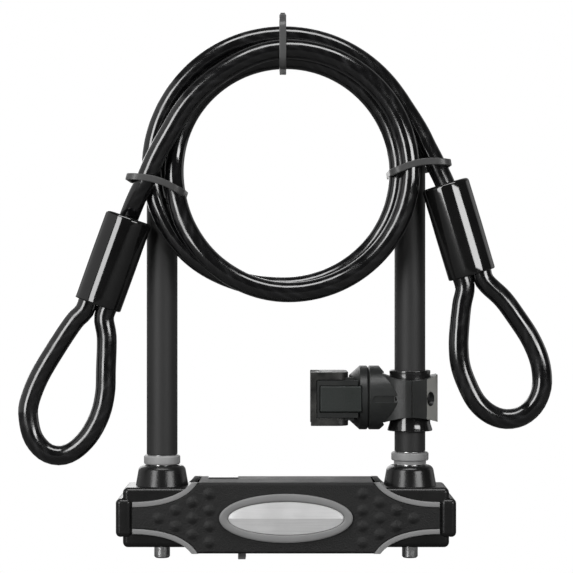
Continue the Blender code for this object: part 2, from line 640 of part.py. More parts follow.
def make_clamp(finish):
    """Rubber liner, the two clamp halves and their screws, and the fixed half of the swivel."""
    low, high = HUB_Z - 16.7, HUB_Z + 13.9
    liner = [(LINER_RO + 0.1, high), (LINER_RO + 0.1, high - 1.0), (LINER_RO, high - 2.0),
             (LINER_RO, low + 4.0), (LINER_RO + 1.1, low + 0.6), (LINER_RO + 1.1, low),
             (LINER_RI, low), (LINER_RI, high)]
    turned("clamp_liner", liner, finish["rubber"], Matrix.Translation((LEG_X * MM, 0, 0)))
    seam = GAP / 2
    inner = arc((LEG_X, 0), CLAMP_R, 90, 270, 18)
    inner = [(x - seam, y) for x, y in inner]
    outer = [(LEG_X + seam, -CLAMP_R), (70.2, -CLAMP_R), (76.4, -6.5), (76.4, 6.5), (70.2, CLAMP_R),
             (LEG_X + seam, CLAMP_R)]
    z0, z1 = HUB_Z - CLAMP_HALF_Z, HUB_Z + CLAMP_HALF_Z
    for name, outline in (("clamp_inner", inner), ("clamp_outer", outer)):
        half = add(name, slab_mesh(outline, z0, z1), finish["bracket"])
        bobbin(half)
        boolean(half, cutter(rod_mesh((LEG_X, 0, z0 - 5), (LEG_X, 0, z1 + 5), LINER_RO + 0.4, sides=32)))
        for side in (-1, 1):
            y = side * SCREW_Y
            boolean(half, cutter(rod_mesh((54.5, y, HUB_Z), (80, y, HUB_Z), 2.1, sides=24)))
            if name == "clamp_outer":
                boolean(half, cutter(rod_mesh((68.7, y, HUB_Z), (85, y, HUB_Z), 3.6, sides=24)))
    for name, y in (("front", -SCREW_Y), ("back", SCREW_Y)):
        screw = add(f"clamp_screw_{name}", rod_mesh((55.0, y, HUB_Z), (70.0, y, HUB_Z), 1.8, sides=16),
                    finish["chrome"])
        boolean(screw, cutter(rod_mesh((69.0, y, HUB_Z), (71.6, y, HUB_Z), 3.3, sides=24)), "UNION")
        boolean(screw, cutter(rod_mesh((70.4, y, HUB_Z), (73, y, HUB_Z), 1.5, sides=6)))


def make_swivel(finish):
    """Fixed drum half that hugs the clamp, the steel pin, and the turning arm with its release tab."""
    along = Matrix.Translation((0, 0, HUB_Z * MM)) @ Matrix.Rotation(math.pi / 2, 4, "Y")
    base = [(0.0, 57.0), (DRUM_R, 57.0), (DRUM_R, DRUM_SEAM_X + 0.6), (DRUM_R - 0.6, DRUM_SEAM_X),
            (0.0, DRUM_SEAM_X)]
    drum = turned("swivel_base", base, finish["bracket"], along, steps=36, closed=False)
    cheek, edge = CLAMP_HALF_Z + 0.9, CLAMP_HALF_Z + 0.4
    for up in (-1, 1):
        top = [(46.9, HUB_Z + up * 30), (46.9, HUB_Z + up * DRUM_R), (49.2, HUB_Z + up * (DRUM_R - 2.8)),
               (49.2, HUB_Z + up * edge), (60, HUB_Z + up * edge), (60, HUB_Z + up * 30)]
        boolean(drum, cutter(plate_mesh(top, -30, 30)))
    seat = rod_mesh((LEG_X, 0, HUB_Z - cheek), (LEG_X, 0, HUB_Z + cheek), CLAMP_R + GAP, sides=48)
    boolean(drum, cutter(seat))
    boolean(drum, cutter(rod_mesh((40, 0, HUB_Z), (48, 0, HUB_Z), 4.3, sides=24)))
    boolean(drum, cutter(rod_mesh((58.5, 0, HUB_Z - 20), (58.5, 0, HUB_Z + 20), 6.0, sides=24)))
    slot = rounded((43.4, HUB_Z - 1.6), (56.5, HUB_Z + 1.6), 1.5)
    boolean(drum, cutter(plate_mesh(slot, -DRUM_R - 1, -DRUM_R + 0.9)))
    pin = rod_mesh((34.4, 0, HUB_Z), (44.6, 0, HUB_Z), 4.0, sides=32)
    add("swivel_pin", pin, finish["steel"])

    head = [(0.0, DRUM_SEAM_X - GAP), (DRUM_R - 0.6, DRUM_SEAM_X - GAP), (DRUM_R, DRUM_SEAM_X - 0.9),
            (DRUM_R, 37.2), (11.5, 32.0), (0.0, 32.0)]
    arm = turned("bracket_arm", head, finish["bracket"], along, steps=36, closed=False)
    bar = box_mesh((ARM_X0, -15.3, HUB_Z - ARM_HALF_Z), (36.0, -11.6, HUB_Z + ARM_HALF_Z))
    keel = box_mesh((ARM_X0 + 0.5, -13.2, HUB_Z - ARM_HALF_Z - 1.5), (34.0, -11.3, HUB_Z + ARM_HALF_Z + 1.5))
    boolean(arm, cutter(bar), "UNION")
    boolean(arm, cutter(keel), "UNION")
    boolean(arm, cutter(rod_mesh((34.1, 0, HUB_Z), (50, 0, HUB_Z), 4.3, sides=24)))
    pocket = box_mesh((16.7, -20, HUB_Z - 6.8), (38.1, -12.8, HUB_Z + 6.8))
    boolean(arm, cutter(pocket))
    tab = box_mesh((17.0, -16.6, HUB_Z - 6.5), (37.8, -14.8, HUB_Z + 6.5))
    press = add("release_tab", tab, finish["bracket"])
    bevel(press, 0.5, 1)


def make_saddle(finish):
    """The saddle that straps to the bicycle's tube, and its rubber pad."""
    z0, z1 = HUB_Z - SADDLE_HALF_Z, HUB_Z + SADDLE_HALF_Z
    back = rounded((-30, -SADDLE_HALF_Y), (SADDLE_X1, SADDLE_HALF_Y), 6.0, 5)
    outline = [(max(x, SADDLE_X0), y) for x, y in back]
    outline = [p for i, p in enumerate(outline) if p != outline[i - 1]]
    saddle = add("saddle", slab_mesh(outline, z0, z1), finish["bracket"])
    bevel(saddle, 1.5, 2)
    boolean(saddle, cutter(rod_mesh((TROUGH_X, 0, z0 - 5), (TROUGH_X, 0, z1 + 5), TROUGH_R, sides=56)))
    clear = ARM_HALF_Z + GAP
    channel = box_mesh((ARM_X0 - GAP, -20, HUB_Z - clear), (40, -11.0, HUB_Z + clear))
    keel = box_mesh((ARM_X0 - GAP, -13.5, HUB_Z - clear - 1.5), (40, -11.0, HUB_Z + clear + 1.5))
    boolean(saddle, cutter(channel))
    boolean(saddle, cutter(keel))
    reach, thick = 41.0, 1.5
    trough = arc((TROUGH_X, 0), TROUGH_R - GAP, -reach, reach, 16)
    lining = arc((TROUGH_X, 0), TROUGH_R - GAP - thick, reach, -reach, 16)
    add("saddle_pad", slab_mesh(trough + lining, z0 + 0.4, z1 - 0.4), finish["rubber"])


def set_joint_origins():
    """Give each moving piece its origin on its joint's axis."""
    axes = {
        "key_plug": (0, 0, 0), "cylinder_cam": (0, 0, 0), "clamp_inner": (LEG_X, 0, HUB_Z),
        "clamp_outer": (LEG_X, 0, HUB_Z), "release_tab": (27.2, -15.0, HUB_Z), "saddle": (20, 0, HUB_Z),
    }
    for name, spot in axes.items():
        piece = parts.objects[name]
        shift = Vector(spot) * MM
        piece.data.transform(Matrix.Translation(-shift))
        piece.matrix_world = Matrix.Translation(shift) @ piece.matrix_world


start_scene()
finishes = make_materials()
make_shackle(finishes)
make_tube(finishes)
make_bolts(finishes)
make_cylinder(finishes)
make_covers(finishes)
make_trims(finishes)
make_badge(finishes)
make_ends(finishes)
make_cable(finishes)
make_ties(finishes)
make_clamp(finishes)
make_swivel(finishes)
make_saddle(finishes)
set_joint_origins()
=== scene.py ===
import bmesh
import bpy
import numpy as np
from mathutils import Matrix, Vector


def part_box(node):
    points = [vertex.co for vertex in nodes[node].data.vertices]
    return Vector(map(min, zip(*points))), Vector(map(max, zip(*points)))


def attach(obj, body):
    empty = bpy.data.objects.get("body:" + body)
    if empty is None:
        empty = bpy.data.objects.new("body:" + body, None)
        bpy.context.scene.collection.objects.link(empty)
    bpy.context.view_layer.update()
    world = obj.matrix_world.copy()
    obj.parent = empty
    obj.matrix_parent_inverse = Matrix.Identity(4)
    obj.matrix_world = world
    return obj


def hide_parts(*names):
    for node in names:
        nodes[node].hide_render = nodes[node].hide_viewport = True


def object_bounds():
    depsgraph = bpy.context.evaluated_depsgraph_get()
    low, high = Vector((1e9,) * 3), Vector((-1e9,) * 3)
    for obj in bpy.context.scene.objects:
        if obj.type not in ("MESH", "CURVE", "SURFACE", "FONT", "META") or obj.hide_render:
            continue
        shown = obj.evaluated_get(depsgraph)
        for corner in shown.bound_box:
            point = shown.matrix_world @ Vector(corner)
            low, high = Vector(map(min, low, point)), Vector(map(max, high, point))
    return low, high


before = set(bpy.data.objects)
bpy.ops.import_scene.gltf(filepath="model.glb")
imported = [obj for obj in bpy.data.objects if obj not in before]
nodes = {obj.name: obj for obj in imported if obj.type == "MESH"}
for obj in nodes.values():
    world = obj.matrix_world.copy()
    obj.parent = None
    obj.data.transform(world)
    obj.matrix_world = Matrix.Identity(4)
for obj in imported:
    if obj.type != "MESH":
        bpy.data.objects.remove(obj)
low_corner, high_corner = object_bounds()


# ------------------------------------------------------------------ view
# The lock is looked at square on from the front, from a metre away, level with the middle of
# its height.
MM = 0.001
VIEW_DISTANCE = 1.0
VIEW_WIDTH = 0.2905
VIEW_CENTRE = (0.00025, 0.11545)


def add_object(name, data):
    """An object for this data, put in the scene."""
    added = bpy.data.objects.new(name, data)
    bpy.context.scene.collection.objects.link(added)
    return added


camera_data = bpy.data.cameras.new("camera")
camera_data.sensor_width = 36.0
camera_data.lens = camera_data.sensor_width * VIEW_DISTANCE / VIEW_WIDTH
camera = add_object("camera", camera_data)
camera.location = (VIEW_CENTRE[0], -VIEW_DISTANCE, VIEW_CENTRE[1])
camera.rotation_euler = (np.pi / 2, 0.0, 0.0)
bpy.context.scene.camera = camera


# ------------------------------------------------------------------ cable
# A 10 mm cable: laid steel strands inside a smoky black PVC jacket, about 1.45 m long. It is
# wound two and a half times round the shackle's bow, and each end is doubled back into a loop
# whose end lies beside the cable inside a crimped ferrule.
CABLE_R = 5.0
STRAND_OFF = 5.2
MOUTH_IN, MOUTH_OUT, CRIMP_IN, TOP_IN = 2.8, 5.0, 14.0, 9.0
STRANDS = 7
LAY_LENGTH = 0.058
JACKET_DARK = (0.0035, 0.0035, 0.0038, 1)
JACKET_LIGHT = (0.017, 0.017, 0.018, 1)
BOOT_TOP = {"left": (-78.5, -14.0, 150.1), "right": (79.5, -14.0, 166.7)}
BOOT_END = {"left": (-94.2, -14.0, 106.4), "right": (93.0, -14.0, 121.4)}
LOOP_ROUTE = {
    "left": ((-106.0, 98.0), (-115.0, 84.5), (-123.5, 70.0), (-128.3, 57.5), (-128.7, 49.5),
             (-126.4, 40.0), (-120.7, 33.2), (-113.3, 31.0), (-105.9, 33.6), (-98.4, 41.0), (-92.9, 51.5),
             (-90.4, 62.5), (-90.0, 74.0), (-89.6, 90.0)),
    "right": ((87.8, 106.3), (86.6, 94.0), (86.3, 85.0), (87.2, 76.0), (90.3, 67.0),
              (95.1, 57.9), (101.8, 51.8), (109.6, 49.2), (117.6, 50.6), (124.1, 56.1), (127.6, 64.1),
              (127.9, 71.9), (126.1, 80.4), (121.8, 90.0), (115.6, 99.5), (108.4, 109.3)),
}
# the coil: angle in degrees, radius and depth where the strand changes lane
COIL_CENTRE = (-0.4, 172.65)
COIL_LANES = ((196, 81.3, -14.0), (188, 73.2, -19.6), (181.5, 68.0, -22.8), (156, 59.6, -23.4),
              (123, 58.0, -23.4), (90, 60.2, -23.4), (0, 61.8, -23.4), (-90, 60.0, -23.4),
              (-125, 58.0, -23.2), (-150, 56.4, -21.2), (-172, 55.6, -17.0), (-190, 55.8, -13.8),
              (-215, 56.2, -13.0), (-450, 57.4, -13.0), (-475, 59.4, -13.0), (-503, 63.4, -13.0),
              (-551, 67.3, -13.0), (-610, 68.2, -13.0), (-687, 67.4, -13.0), (-711, 72.2, -13.6),
              (-717, 75.3, -13.9))
DEGREES_PER_POINT = 6
ROUTE_STEP, CABLE_SIDES = 2.6, 20
WELD_GAP = 0.000002


def unit(vectors):
    """Each vector divided by its own length."""
    return vectors / np.linalg.norm(vectors, axis=-1, keepdims=True)


def even(line, step):
    """Points an even step apart: the line is read off at equal shares of its length."""
    gaps = np.linalg.norm(np.diff(line, axis=0), axis=1)
    along = np.concatenate([[0.0], np.cumsum(gaps)])
    stations = np.linspace(0.0, along[-1], max(2, round(along[-1] / step)) + 1)
    return np.stack([np.interp(stations, along, column) for column in line.T], axis=1)


def flowing(points, step):
    """A smooth line through points: a Catmull-Rom cubic between each pair, then evened out."""
    points = np.array(points, float)
    padded = np.vstack([2 * points[0] - points[1], points, 2 * points[-1] - points[-2]])
    t = np.linspace(0, 1, 24, endpoint=False)[None, :, None]
    a, b, c, d = padded[:-3, None], padded[1:-2, None], padded[2:-1, None], padded[3:, None]
    cubic = 0.5 * (2 * b + (c - a) * t + (2 * a - 5 * b + 4 * c - d) * t**2
                   + (3 * b - a - 3 * c + d) * t**3)
    return even(np.vstack([cubic.reshape(-1, 3), points[-1:]]), step)


def monotone(at, x, y):
    """A cubic through (x, y) that never overshoots: slopes are harmonic means of their neighbours."""
    rise = np.diff(y) / np.diff(x)
    inner = rise[:-1] * rise[1:]
    mean = np.where(inner > 0, 2 * inner / np.where(inner > 0, rise[:-1] + rise[1:], 1.0), 0.0)
    slope = np.concatenate([rise[:1], mean, rise[-1:]])
    i = np.clip(np.searchsorted(x, at, side="right") - 1, 0, len(x) - 2)
    gap = x[i + 1] - x[i]
    u = (at - x[i]) / gap
    return ((2 * u**3 - 3 * u**2 + 1) * y[i] + (u**3 - 2 * u**2 + u) * gap * slope[i]
            + (3 * u**2 - 2 * u**3) * y[i + 1] + (u**3 - u**2) * gap * slope[i + 1])


def coil_points():
    """The wound part: points on circles whose radius and depth glide from lane to lane."""
    lanes = np.array(COIL_LANES, float)
    turned = np.arange(-lanes[0, 0], -lanes[-1, 0], DEGREES_PER_POINT)
    radius = monotone(turned, -lanes[:, 0], lanes[:, 1])
    depth = monotone(turned, -lanes[:, 0], lanes[:, 2])
    angle = -np.radians(turned)
    return np.stack([COIL_CENTRE[0] + radius * np.cos(angle), depth,
                     COIL_CENTRE[1] + radius * np.sin(angle)], axis=1)


def loop_points(side):
    """An end loop: out of the boot beside its axis, round, and back in on the other side."""
    top, end = np.array(BOOT_TOP[side]), np.array(BOOT_END[side])
    axis = unit(end - top)
    across = np.array([-axis[2], 0.0, axis[0]]) * STRAND_OFF
    first, last = end - across, end + across
    middle = [(x, top[1], z) for x, z in LOOP_ROUTE[side]]
    return [first - MOUTH_IN * axis, first + MOUTH_OUT * axis, *middle,
            last + MOUTH_OUT * axis, last - MOUTH_IN * axis]


def cable_route():
    """The whole cable: left loop, up the left boot, round the coil, down the right boot, right loop."""
    left, right = loop_points("left"), loop_points("right")
    left_axis = unit(np.array(BOOT_END["left"]) - BOOT_TOP["left"])
    right_axis = unit(np.array(BOOT_END["right"]) - BOOT_TOP["right"])
    inside_left = left[-1] - CRIMP_IN * left_axis
    inside_right = right[0] - CRIMP_IN * right_axis
    return [*left, inside_left, BOOT_TOP["left"] + TOP_IN * left_axis, *coil_points(),
            BOOT_TOP["right"], BOOT_TOP["right"] + TOP_IN * right_axis, inside_right, *right]


def signed_volume(verts, faces):
    """The volume inside a closed shell, negative where its faces point in: a sum of fans to the origin."""
    corners = verts[faces]
    fans = np.einsum("ij,ij->i", corners[:, 0], np.cross(corners[:, 1], corners[:, 2]))
    if faces.shape[1] == 4:
        fans = fans + np.einsum("ij,ij->i", corners[:, 0], np.cross(corners[:, 2], corners[:, 3]))
    return fans.sum()


def shell(name, grid, looped=False, sharp=40.0):
    """A closed shell over a grid of millimetre points, rows along it and columns round it.
    Rows join into a loop when looped, and otherwise end in fans to their middle points.
    The UV map runs 0 to 1 round the shell and counts metres along it."""
    rows, columns = grid.shape[:2]
    verts = grid.reshape(-1, 3)
    r, c = np.meshgrid(np.arange(rows if looped else rows - 1), np.arange(columns), indexing="ij")
    r2, c2 = (r + 1) % rows, (c + 1) % columns
    quads = np.stack([r * columns + c, r * columns + c2, r2 * columns + c2, r2 * columns + c], -1)
    quads = quads.reshape(-1, 4)
    middle = grid.mean(axis=1)
    steps = np.linalg.norm(np.diff(middle, axis=0, append=middle[:1]), axis=1)
    along = np.concatenate([[0.0], np.cumsum(steps)]) * MM
    turn = np.arange(columns + 1) / columns
    quad_uv = np.stack([np.stack([turn[c], along[r]], -1), np.stack([turn[c + 1], along[r]], -1),
                        np.stack([turn[c + 1], along[r + 1]], -1), np.stack([turn[c], along[r + 1]], -1)],
                       2).reshape(-1, 2)
    caps = np.zeros((0, 3), int)
    inside = signed_volume(verts, quads)
    if not looped:
        verts = np.vstack([verts, middle[:1], middle[-1:]])
        ring = np.arange(columns)
        after = (ring + 1) % columns
        base = (rows - 1) * columns
        first_fan = np.stack([after, ring, np.full(columns, rows * columns)], -1)
        last_fan = np.stack([base + ring, base + after, np.full(columns, rows * columns + 1)], -1)
        caps = np.vstack([first_fan, last_fan])
        inside = inside + signed_volume(verts, caps)
    if inside < 0:
        quads, caps = quads[:, ::-1], caps[:, ::-1]
        quad_uv = quad_uv.reshape(-1, 4, 2)[:, ::-1].reshape(-1, 2)
    mesh = bpy.data.meshes.new(name)
    mesh.from_pydata(verts * MM, [], quads.tolist() + caps.tolist())
    uv = np.vstack([quad_uv, np.zeros((len(caps) * 3, 2))])
    mesh.uv_layers.new(name="lay").data.foreach_set("uv", uv.ravel())
    weld(mesh)
    mesh.shade_smooth()
    mesh.set_sharp_from_angle(angle=np.radians(sharp))
    return add_object(name, mesh)


def weld(mesh):
    """Join points that meet, which closes seams and poles and drops faces of no area."""
    shape = bmesh.new()
    shape.from_mesh(mesh)
    bmesh.ops.remove_doubles(shape, verts=shape.verts, dist=WELD_GAP)
    bmesh.ops.dissolve_degenerate(shape, edges=shape.edges, dist=WELD_GAP / 2)
    shape.to_mesh(mesh)
    shape.free()


def tube_grid(line, radius, sides):
    """Circles square to a line: centre plus radius times cosine sideways and sine backwards."""
    along = unit(np.gradient(line, axis=0))
    side = unit(np.cross(along, (0.0, 1.0, 0.0)))
    up = np.cross(side, along)
    angle = np.linspace(0, 2 * np.pi, sides, endpoint=False)[None, :, None]
    return line[:, None] + radius * (np.cos(angle) * side[:, None] + np.sin(angle) * up[:, None])


def new_material(name, **values):
    """A node material: its nodes, its links' maker and its shader with its constant values set."""
    material = bpy.data.materials.new(name)
    material.use_nodes = True
    tree = material.node_tree
    shader = tree.nodes["Principled BSDF"]
    for socket, value in values.items():
        shader.inputs[socket.replace("_", " ")].default_value = value
    return material, tree, shader


def node(tree, kind, inputs=None, **settings):
    """A node with its settings and its input values; a socket given as an input is linked."""
    made = tree.nodes.new(kind)
    for key, value in settings.items():
        setattr(made, key, value)
    for key, value in (inputs or {}).items():
        if isinstance(value, bpy.types.NodeSocket):
            tree.links.new(value, made.inputs[key])
        else:
            made.inputs[key].default_value = value
    return made


def maths(tree, operation, a, b=0.0):
    """One sum on two values."""
    return node(tree, "ShaderNodeMath", {0: a, 1: b}, operation=operation).outputs[0]


def mix_colour(tree, share, a, b):
    """Two colours mixed by a share."""
    mixed = node(tree, "ShaderNodeMix", {"Factor": share, 6: a, 7: b}, data_type="RGBA")
    return mixed.outputs[2]


def spread(tree, value, low, high, to_low=0.0, to_high=1.0):
    """A value moved from one range to another, and held inside it."""
    limits = {"From Min": low, "From Max": high, "To Min": to_low, "To Max": to_high}
    return node(tree, "ShaderNodeMapRange", {"Value": value, **limits}).outputs[0]


def noise(tree, where, scale, detail):
    """Cloudy noise between 0 and 1 over a place."""
    given = {"Vector": where, "Scale": scale, "Detail": detail}
    return node(tree, "ShaderNodeTexNoise", given).outputs["Fac"]


def jacket_material():
    """Smoky PVC over strands: the lay shows as soft helical ridges and a faint lighter twist."""
    material, tree, shader = new_material("cable_jacket", IOR=1.5, Specular_IOR_Level=0.9,
                                           Coat_Roughness=0.08)
    uv = node(tree, "ShaderNodeUVMap", uv_map="lay")
    split = node(tree, "ShaderNodeSeparateXYZ", {0: uv.outputs[0]})
    turns = maths(tree, "MULTIPLY", split.outputs["X"], float(STRANDS))
    length = maths(tree, "DIVIDE", split.outputs["Y"], LAY_LENGTH / STRANDS)
    phase = maths(tree, "MULTIPLY", maths(tree, "ADD", turns, length), 2 * np.pi)
    strand = spread(tree, maths(tree, "SINE", phase), -1.0, 1.0)
    where = node(tree, "ShaderNodeTexCoord").outputs["Object"]
    patches = noise(tree, where, 130.0, 3.0)
    specks = noise(tree, where, 900.0, 2.0)
    shown = maths(tree, "MULTIPLY", maths(tree, "POWER", strand, 2.0), spread(tree, patches, 0.35, 0.7))
    tree.links.new(mix_colour(tree, shown, JACKET_DARK, JACKET_LIGHT), shader.inputs["Base Color"])
    tree.links.new(spread(tree, patches, 0.3, 0.7, 0.1, 0.24), shader.inputs["Roughness"])
    tree.links.new(spread(tree, patches, 0.3, 0.7, 0.5, 0.2), shader.inputs["Coat Weight"])
    height = maths(tree, "ADD", maths(tree, "MULTIPLY", strand, maths(tree, "MULTIPLY", patches, 1.2)),
                   maths(tree, "MULTIPLY", specks, 0.12))
    ridges = node(tree, "ShaderNodeBump", {"Height": height, "Strength": 0.35, "Distance": 0.00006})
    tree.links.new(ridges.outputs[0], shader.inputs["Normal"])
    return material


def finish(piece, material, body, slot, *replaced):
    """Give a piece its material and its CAD body, and hide the CAD nodes that it stands for. The slot is not
    used.
    """
    piece.data.materials.clear()
    piece.data.materials.append(material)
    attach(piece, body)
    if replaced:
        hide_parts(*replaced)


cable_line = flowing(cable_route(), ROUTE_STEP)
cable = shell("cable", tube_grid(cable_line, CABLE_R, CABLE_SIDES))
finish(cable, jacket_material(), "shackle", "cable_jacket", "cable_coil", "left_cable_lead",
       "right_cable_lead", "left_cable_loop", "right_cable_loop")


# ------------------------------------------------------------------ boots and ferrules
# A soft PVC boot, 24 mm thick and 46 mm long, is pushed over each aluminium ferrule. The ferrule
# is crimped on both strands, and the boot's mouths are rolled in round the cable.
BOOT_R, BOOT_BULGE, BOOT_LAND = 12.0, 0.1, 4.0
FERRULE_R = 10.5
BOOT_MOUTH, MOUTH_ROLL = 5.6, 0.9
LIP = 1.7
SLEEVE_GAP, SLEEVE_LIP = 0.3, 0.25
SLEEVE_FLOOR, SLEEVE_INSET = 1.9, 3.2


def arc_points(centre, radius, start, end, count):
    """Points along an arc: centre plus radius times cosine and sine, angles in degrees."""
    angle = np.radians(np.linspace(start, end, count))
    return np.stack([centre[0] + radius * np.cos(angle), centre[1] + radius * np.sin(angle)], axis=1)


def turned_grid(profile, origin, axis, sides=64):
    """A profile of (radius, height) turned round an axis: one column each way round, one row a point."""
    axis = unit(np.array(axis, float))
    lead = (0.0, 1.0, 0.0) if abs(axis[1]) < 0.9 else (1.0, 0.0, 0.0)
    side = unit(np.cross(axis, lead))
    up = np.cross(axis, side)
    angle = np.linspace(0, 2 * np.pi, sides, endpoint=False)[None, :, None]
    profile = np.array(profile, float)
    radius, height = profile[:, 0, None, None], profile[:, 1, None, None]
    return np.array(origin) + height * axis + radius * (np.cos(angle) * side + np.sin(angle) * up)


def effect_group(name, inputs):
    """A shader node group with these inputs, which puts out a colour, a roughness and a normal."""
    group = bpy.data.node_groups.new(name, "ShaderNodeTree")
    for label, kind, value in inputs:
        socket = group.interface.new_socket(label, in_out="INPUT", socket_type="NodeSocket" + kind)
        socket.default_value = value
    for label, kind in (("Colour", "Color"), ("Roughness", "Float"), ("Normal", "Vector")):
        group.interface.new_socket(label, in_out="OUTPUT", socket_type="NodeSocket" + kind)
    return group, group.nodes.new("NodeGroupInput").outputs, group.nodes.new("NodeGroupOutput").inputs


def put_out(group, given, taken, share, bump):
    """Send out a group's two colours and two roughnesses, mixed by a share, and its bump."""
    group.links.new(mix_colour(group, share, given["Colour A"], given["Colour B"]), taken["Colour"])
    rough = spread(group, share, 0.0, 1.0, given["Rough Low"], given["Rough High"])
    group.links.new(rough, taken["Roughness"])
    group.links.new(bump.outputs[0], taken["Normal"])


def moulded_group():
    """Moulded plastic: colour drifts between two tones in patches, with a fine grain in the surface."""
    group, given, taken = effect_group("moulded_finish", (
        ("Colour A", "Color", (0.02, 0.02, 0.02, 1)), ("Colour B", "Color", (0.03, 0.03, 0.03, 1)),
        ("Patch Scale", "Float", 40.0), ("Rough Low", "Float", 0.3), ("Rough High", "Float", 0.45),
        ("Grain Scale", "Float", 900.0), ("Grain Height", "Float", 0.1)))
    where = node(group, "ShaderNodeTexCoord").outputs["Object"]
    patches = spread(group, noise(group, where, given["Patch Scale"], 4.0), 0.3, 0.7)
    grain = noise(group, where, given["Grain Scale"], 2.0)
    pits = node(group, "ShaderNodeTexVoronoi", {"Vector": where, "Scale": given["Grain Scale"]},
                feature="SMOOTH_F1")
    height = maths(group, "ADD", grain, pits.outputs["Distance"])
    bump = node(group, "ShaderNodeBump", {"Height": height, "Strength": given["Grain Height"],
                                          "Distance": 0.0003})
    put_out(group, given, taken, patches, bump)
    return group


def metal_group():
    """Worked metal: fine lines along one direction, and smears that change its colour and polish."""
    group, given, taken = effect_group("worked_metal", (
        ("Colour A", "Color", (0.5, 0.5, 0.5, 1)), ("Colour B", "Color", (0.6, 0.6, 0.6, 1)),
        ("Stretch", "Vector", (1.0, 1.0, 1.0)), ("Rough Low", "Float", 0.2), ("Rough High", "Float", 0.4),
        ("Line Height", "Float", 0.1)))
    where = node(group, "ShaderNodeTexCoord").outputs["Object"]
    stretched = node(group, "ShaderNodeVectorMath", {0: where, 1: given["Stretch"]}, operation="MULTIPLY")
    lines = noise(group, stretched.outputs[0], 1.0, 3.0)
    smear = noise(group, where, 90.0, 4.0)
    share = spread(group, maths(group, "MULTIPLY", maths(group, "ADD", lines, smear), 0.5), 0.35, 0.65)
    bump = node(group, "ShaderNodeBump", {"Height": lines, "Strength": given["Line Height"],
                                          "Distance": 0.0001})
    put_out(group, given, taken, share, bump)
    return group


def effect_material(name, group, given, **values):
    """A material whose colour, roughness and normal come from a group with these values."""
    material, tree, shader = new_material(name, **values)
    effect = node(tree, "ShaderNodeGroup", given, node_tree=group)
    for output, socket in (("Colour", "Base Color"), ("Roughness", "Roughness"), ("Normal", "Normal")):
        tree.links.new(effect.outputs[output], shader.inputs[socket])
    return material


def moulded(name, dark, light, rough, grain, patch=40.0, **values):
    """Moulded plastic between two tones and two roughnesses, with its grain as (scale, height)."""
    return effect_material(name, moulded_finish, {
        "Colour A": (*dark, 1), "Colour B": (*light, 1), "Patch Scale": patch, "Rough Low": rough[0],
        "Rough High": rough[1], "Grain Scale": grain[0], "Grain Height": grain[1]}, **values)


def metal(name, dark, light, rough, stretch, line_height=0.1, **values):
    """Worked metal, whose lines are short along the axes with a large stretch."""
    return effect_material(name, worked_metal, {
        "Colour A": (*dark, 1), "Colour B": (*light, 1), "Stretch": stretch, "Rough Low": rough[0],
        "Rough High": rough[1], "Line Height": line_height}, **{"Metallic": 1.0, **values})


def grey(value):
    """A neutral colour."""
    return (value, value, value)


def repaint(material, *names):
    """Give kept CAD nodes a better material in each of their slots."""
    for name in names:
        for slot in nodes[name].material_slots:
            slot.material = material


moulded_finish = moulded_group()
worked_metal = metal_group()
boot_rubber = moulded("boot_rubber", grey(0.004), grey(0.009), (0.06, 0.12), (350.0, 0.02), IOR=1.5,
                      Specular_IOR_Level=1.0)
aluminium = metal("crimped_aluminium", grey(0.42), grey(0.6), (0.3, 0.5), (400.0, 400.0, 60.0), 0.3)
repaint(aluminium, "left_ferrule", "right_ferrule")
for side in ("left", "right"):
    top, end = np.array(BOOT_TOP[side]), np.array(BOOT_END[side])
    axis = unit(end - top)
    length = np.linalg.norm(end - top)
    bore = FERRULE_R + SLEEVE_GAP
    profile = np.vstack([
        [(BOOT_MOUTH, SLEEVE_FLOOR - 0.5)],
        arc_points((BOOT_MOUTH + MOUTH_ROLL, MOUTH_ROLL), MOUTH_ROLL, 180, 270, 5),
        arc_points((BOOT_R - LIP, LIP), LIP, 270, 360, 9),
        [(BOOT_R, BOOT_LAND), (BOOT_R + BOOT_BULGE, length / 2), (BOOT_R, length - BOOT_LAND)],
        arc_points((BOOT_R - LIP / 2, length - LIP / 2), LIP / 2, 0, 90, 6),
        arc_points((bore + SLEEVE_LIP, length - SLEEVE_LIP), SLEEVE_LIP, 90, 180, 4),
        [(bore, length - SLEEVE_INSET), (bore, SLEEVE_FLOOR), (BOOT_MOUTH, SLEEVE_FLOOR)]])
    boot = shell(f"{side}_boot_sleeve", turned_grid(profile, top, axis), looped=True)
    finish(boot, boot_rubber, "shackle", "boot_rubber", f"{side}_boot")


# ------------------------------------------------------------------ studio
# The lock stands before a white sweep, on grey paper that shows white. A tall soft box at its left
# and a low one at its right draw the highlights, a wide weak one fills its left side, and others
# light its right rim, its top and its back.
STAGE_WHITE = 1.0
BEHIND_LIGHT = 0.3
ROOM_LIGHT = 0.035
FLOOR_DROP, FLOOR_REACH = 0.0006, 1.6
PAPER_DARK, PAPER_LIGHT = (0.1, 0.1, 0.1, 1), (0.12, 0.12, 0.12, 1)


def white_to_camera(tree, other):
    """White where the camera looks at it, and another light for everything it lights."""
    seen = node(tree, "ShaderNodeLightPath").outputs["Is Camera Ray"]
    shown = node(tree, "ShaderNodeEmission", {"Color": (1, 1, 1, 1), "Strength": STAGE_WHITE})
    return node(tree, "ShaderNodeMixShader", {0: seen, 1: other, 2: shown.outputs[0]})


def soft_box(name, place, aim, size, watts):
    """A rectangular area light turned towards a point."""
    data = bpy.data.lights.new(name, "AREA")
    data.shape = "RECTANGLE"
    data.size, data.size_y = size
    data.energy = watts
    light = add_object(name, data)
    place, aim = np.array(place), np.array(aim)
    away = unit(place - aim)
    across = unit(np.cross((0.0, 0.0, 1.0), away))
    turn = np.eye(4)
    turn[:3, 0], turn[:3, 1], turn[:3, 2], turn[:3, 3] = across, np.cross(away, across), away, place
    light.matrix_world = Matrix(turn.tolist())


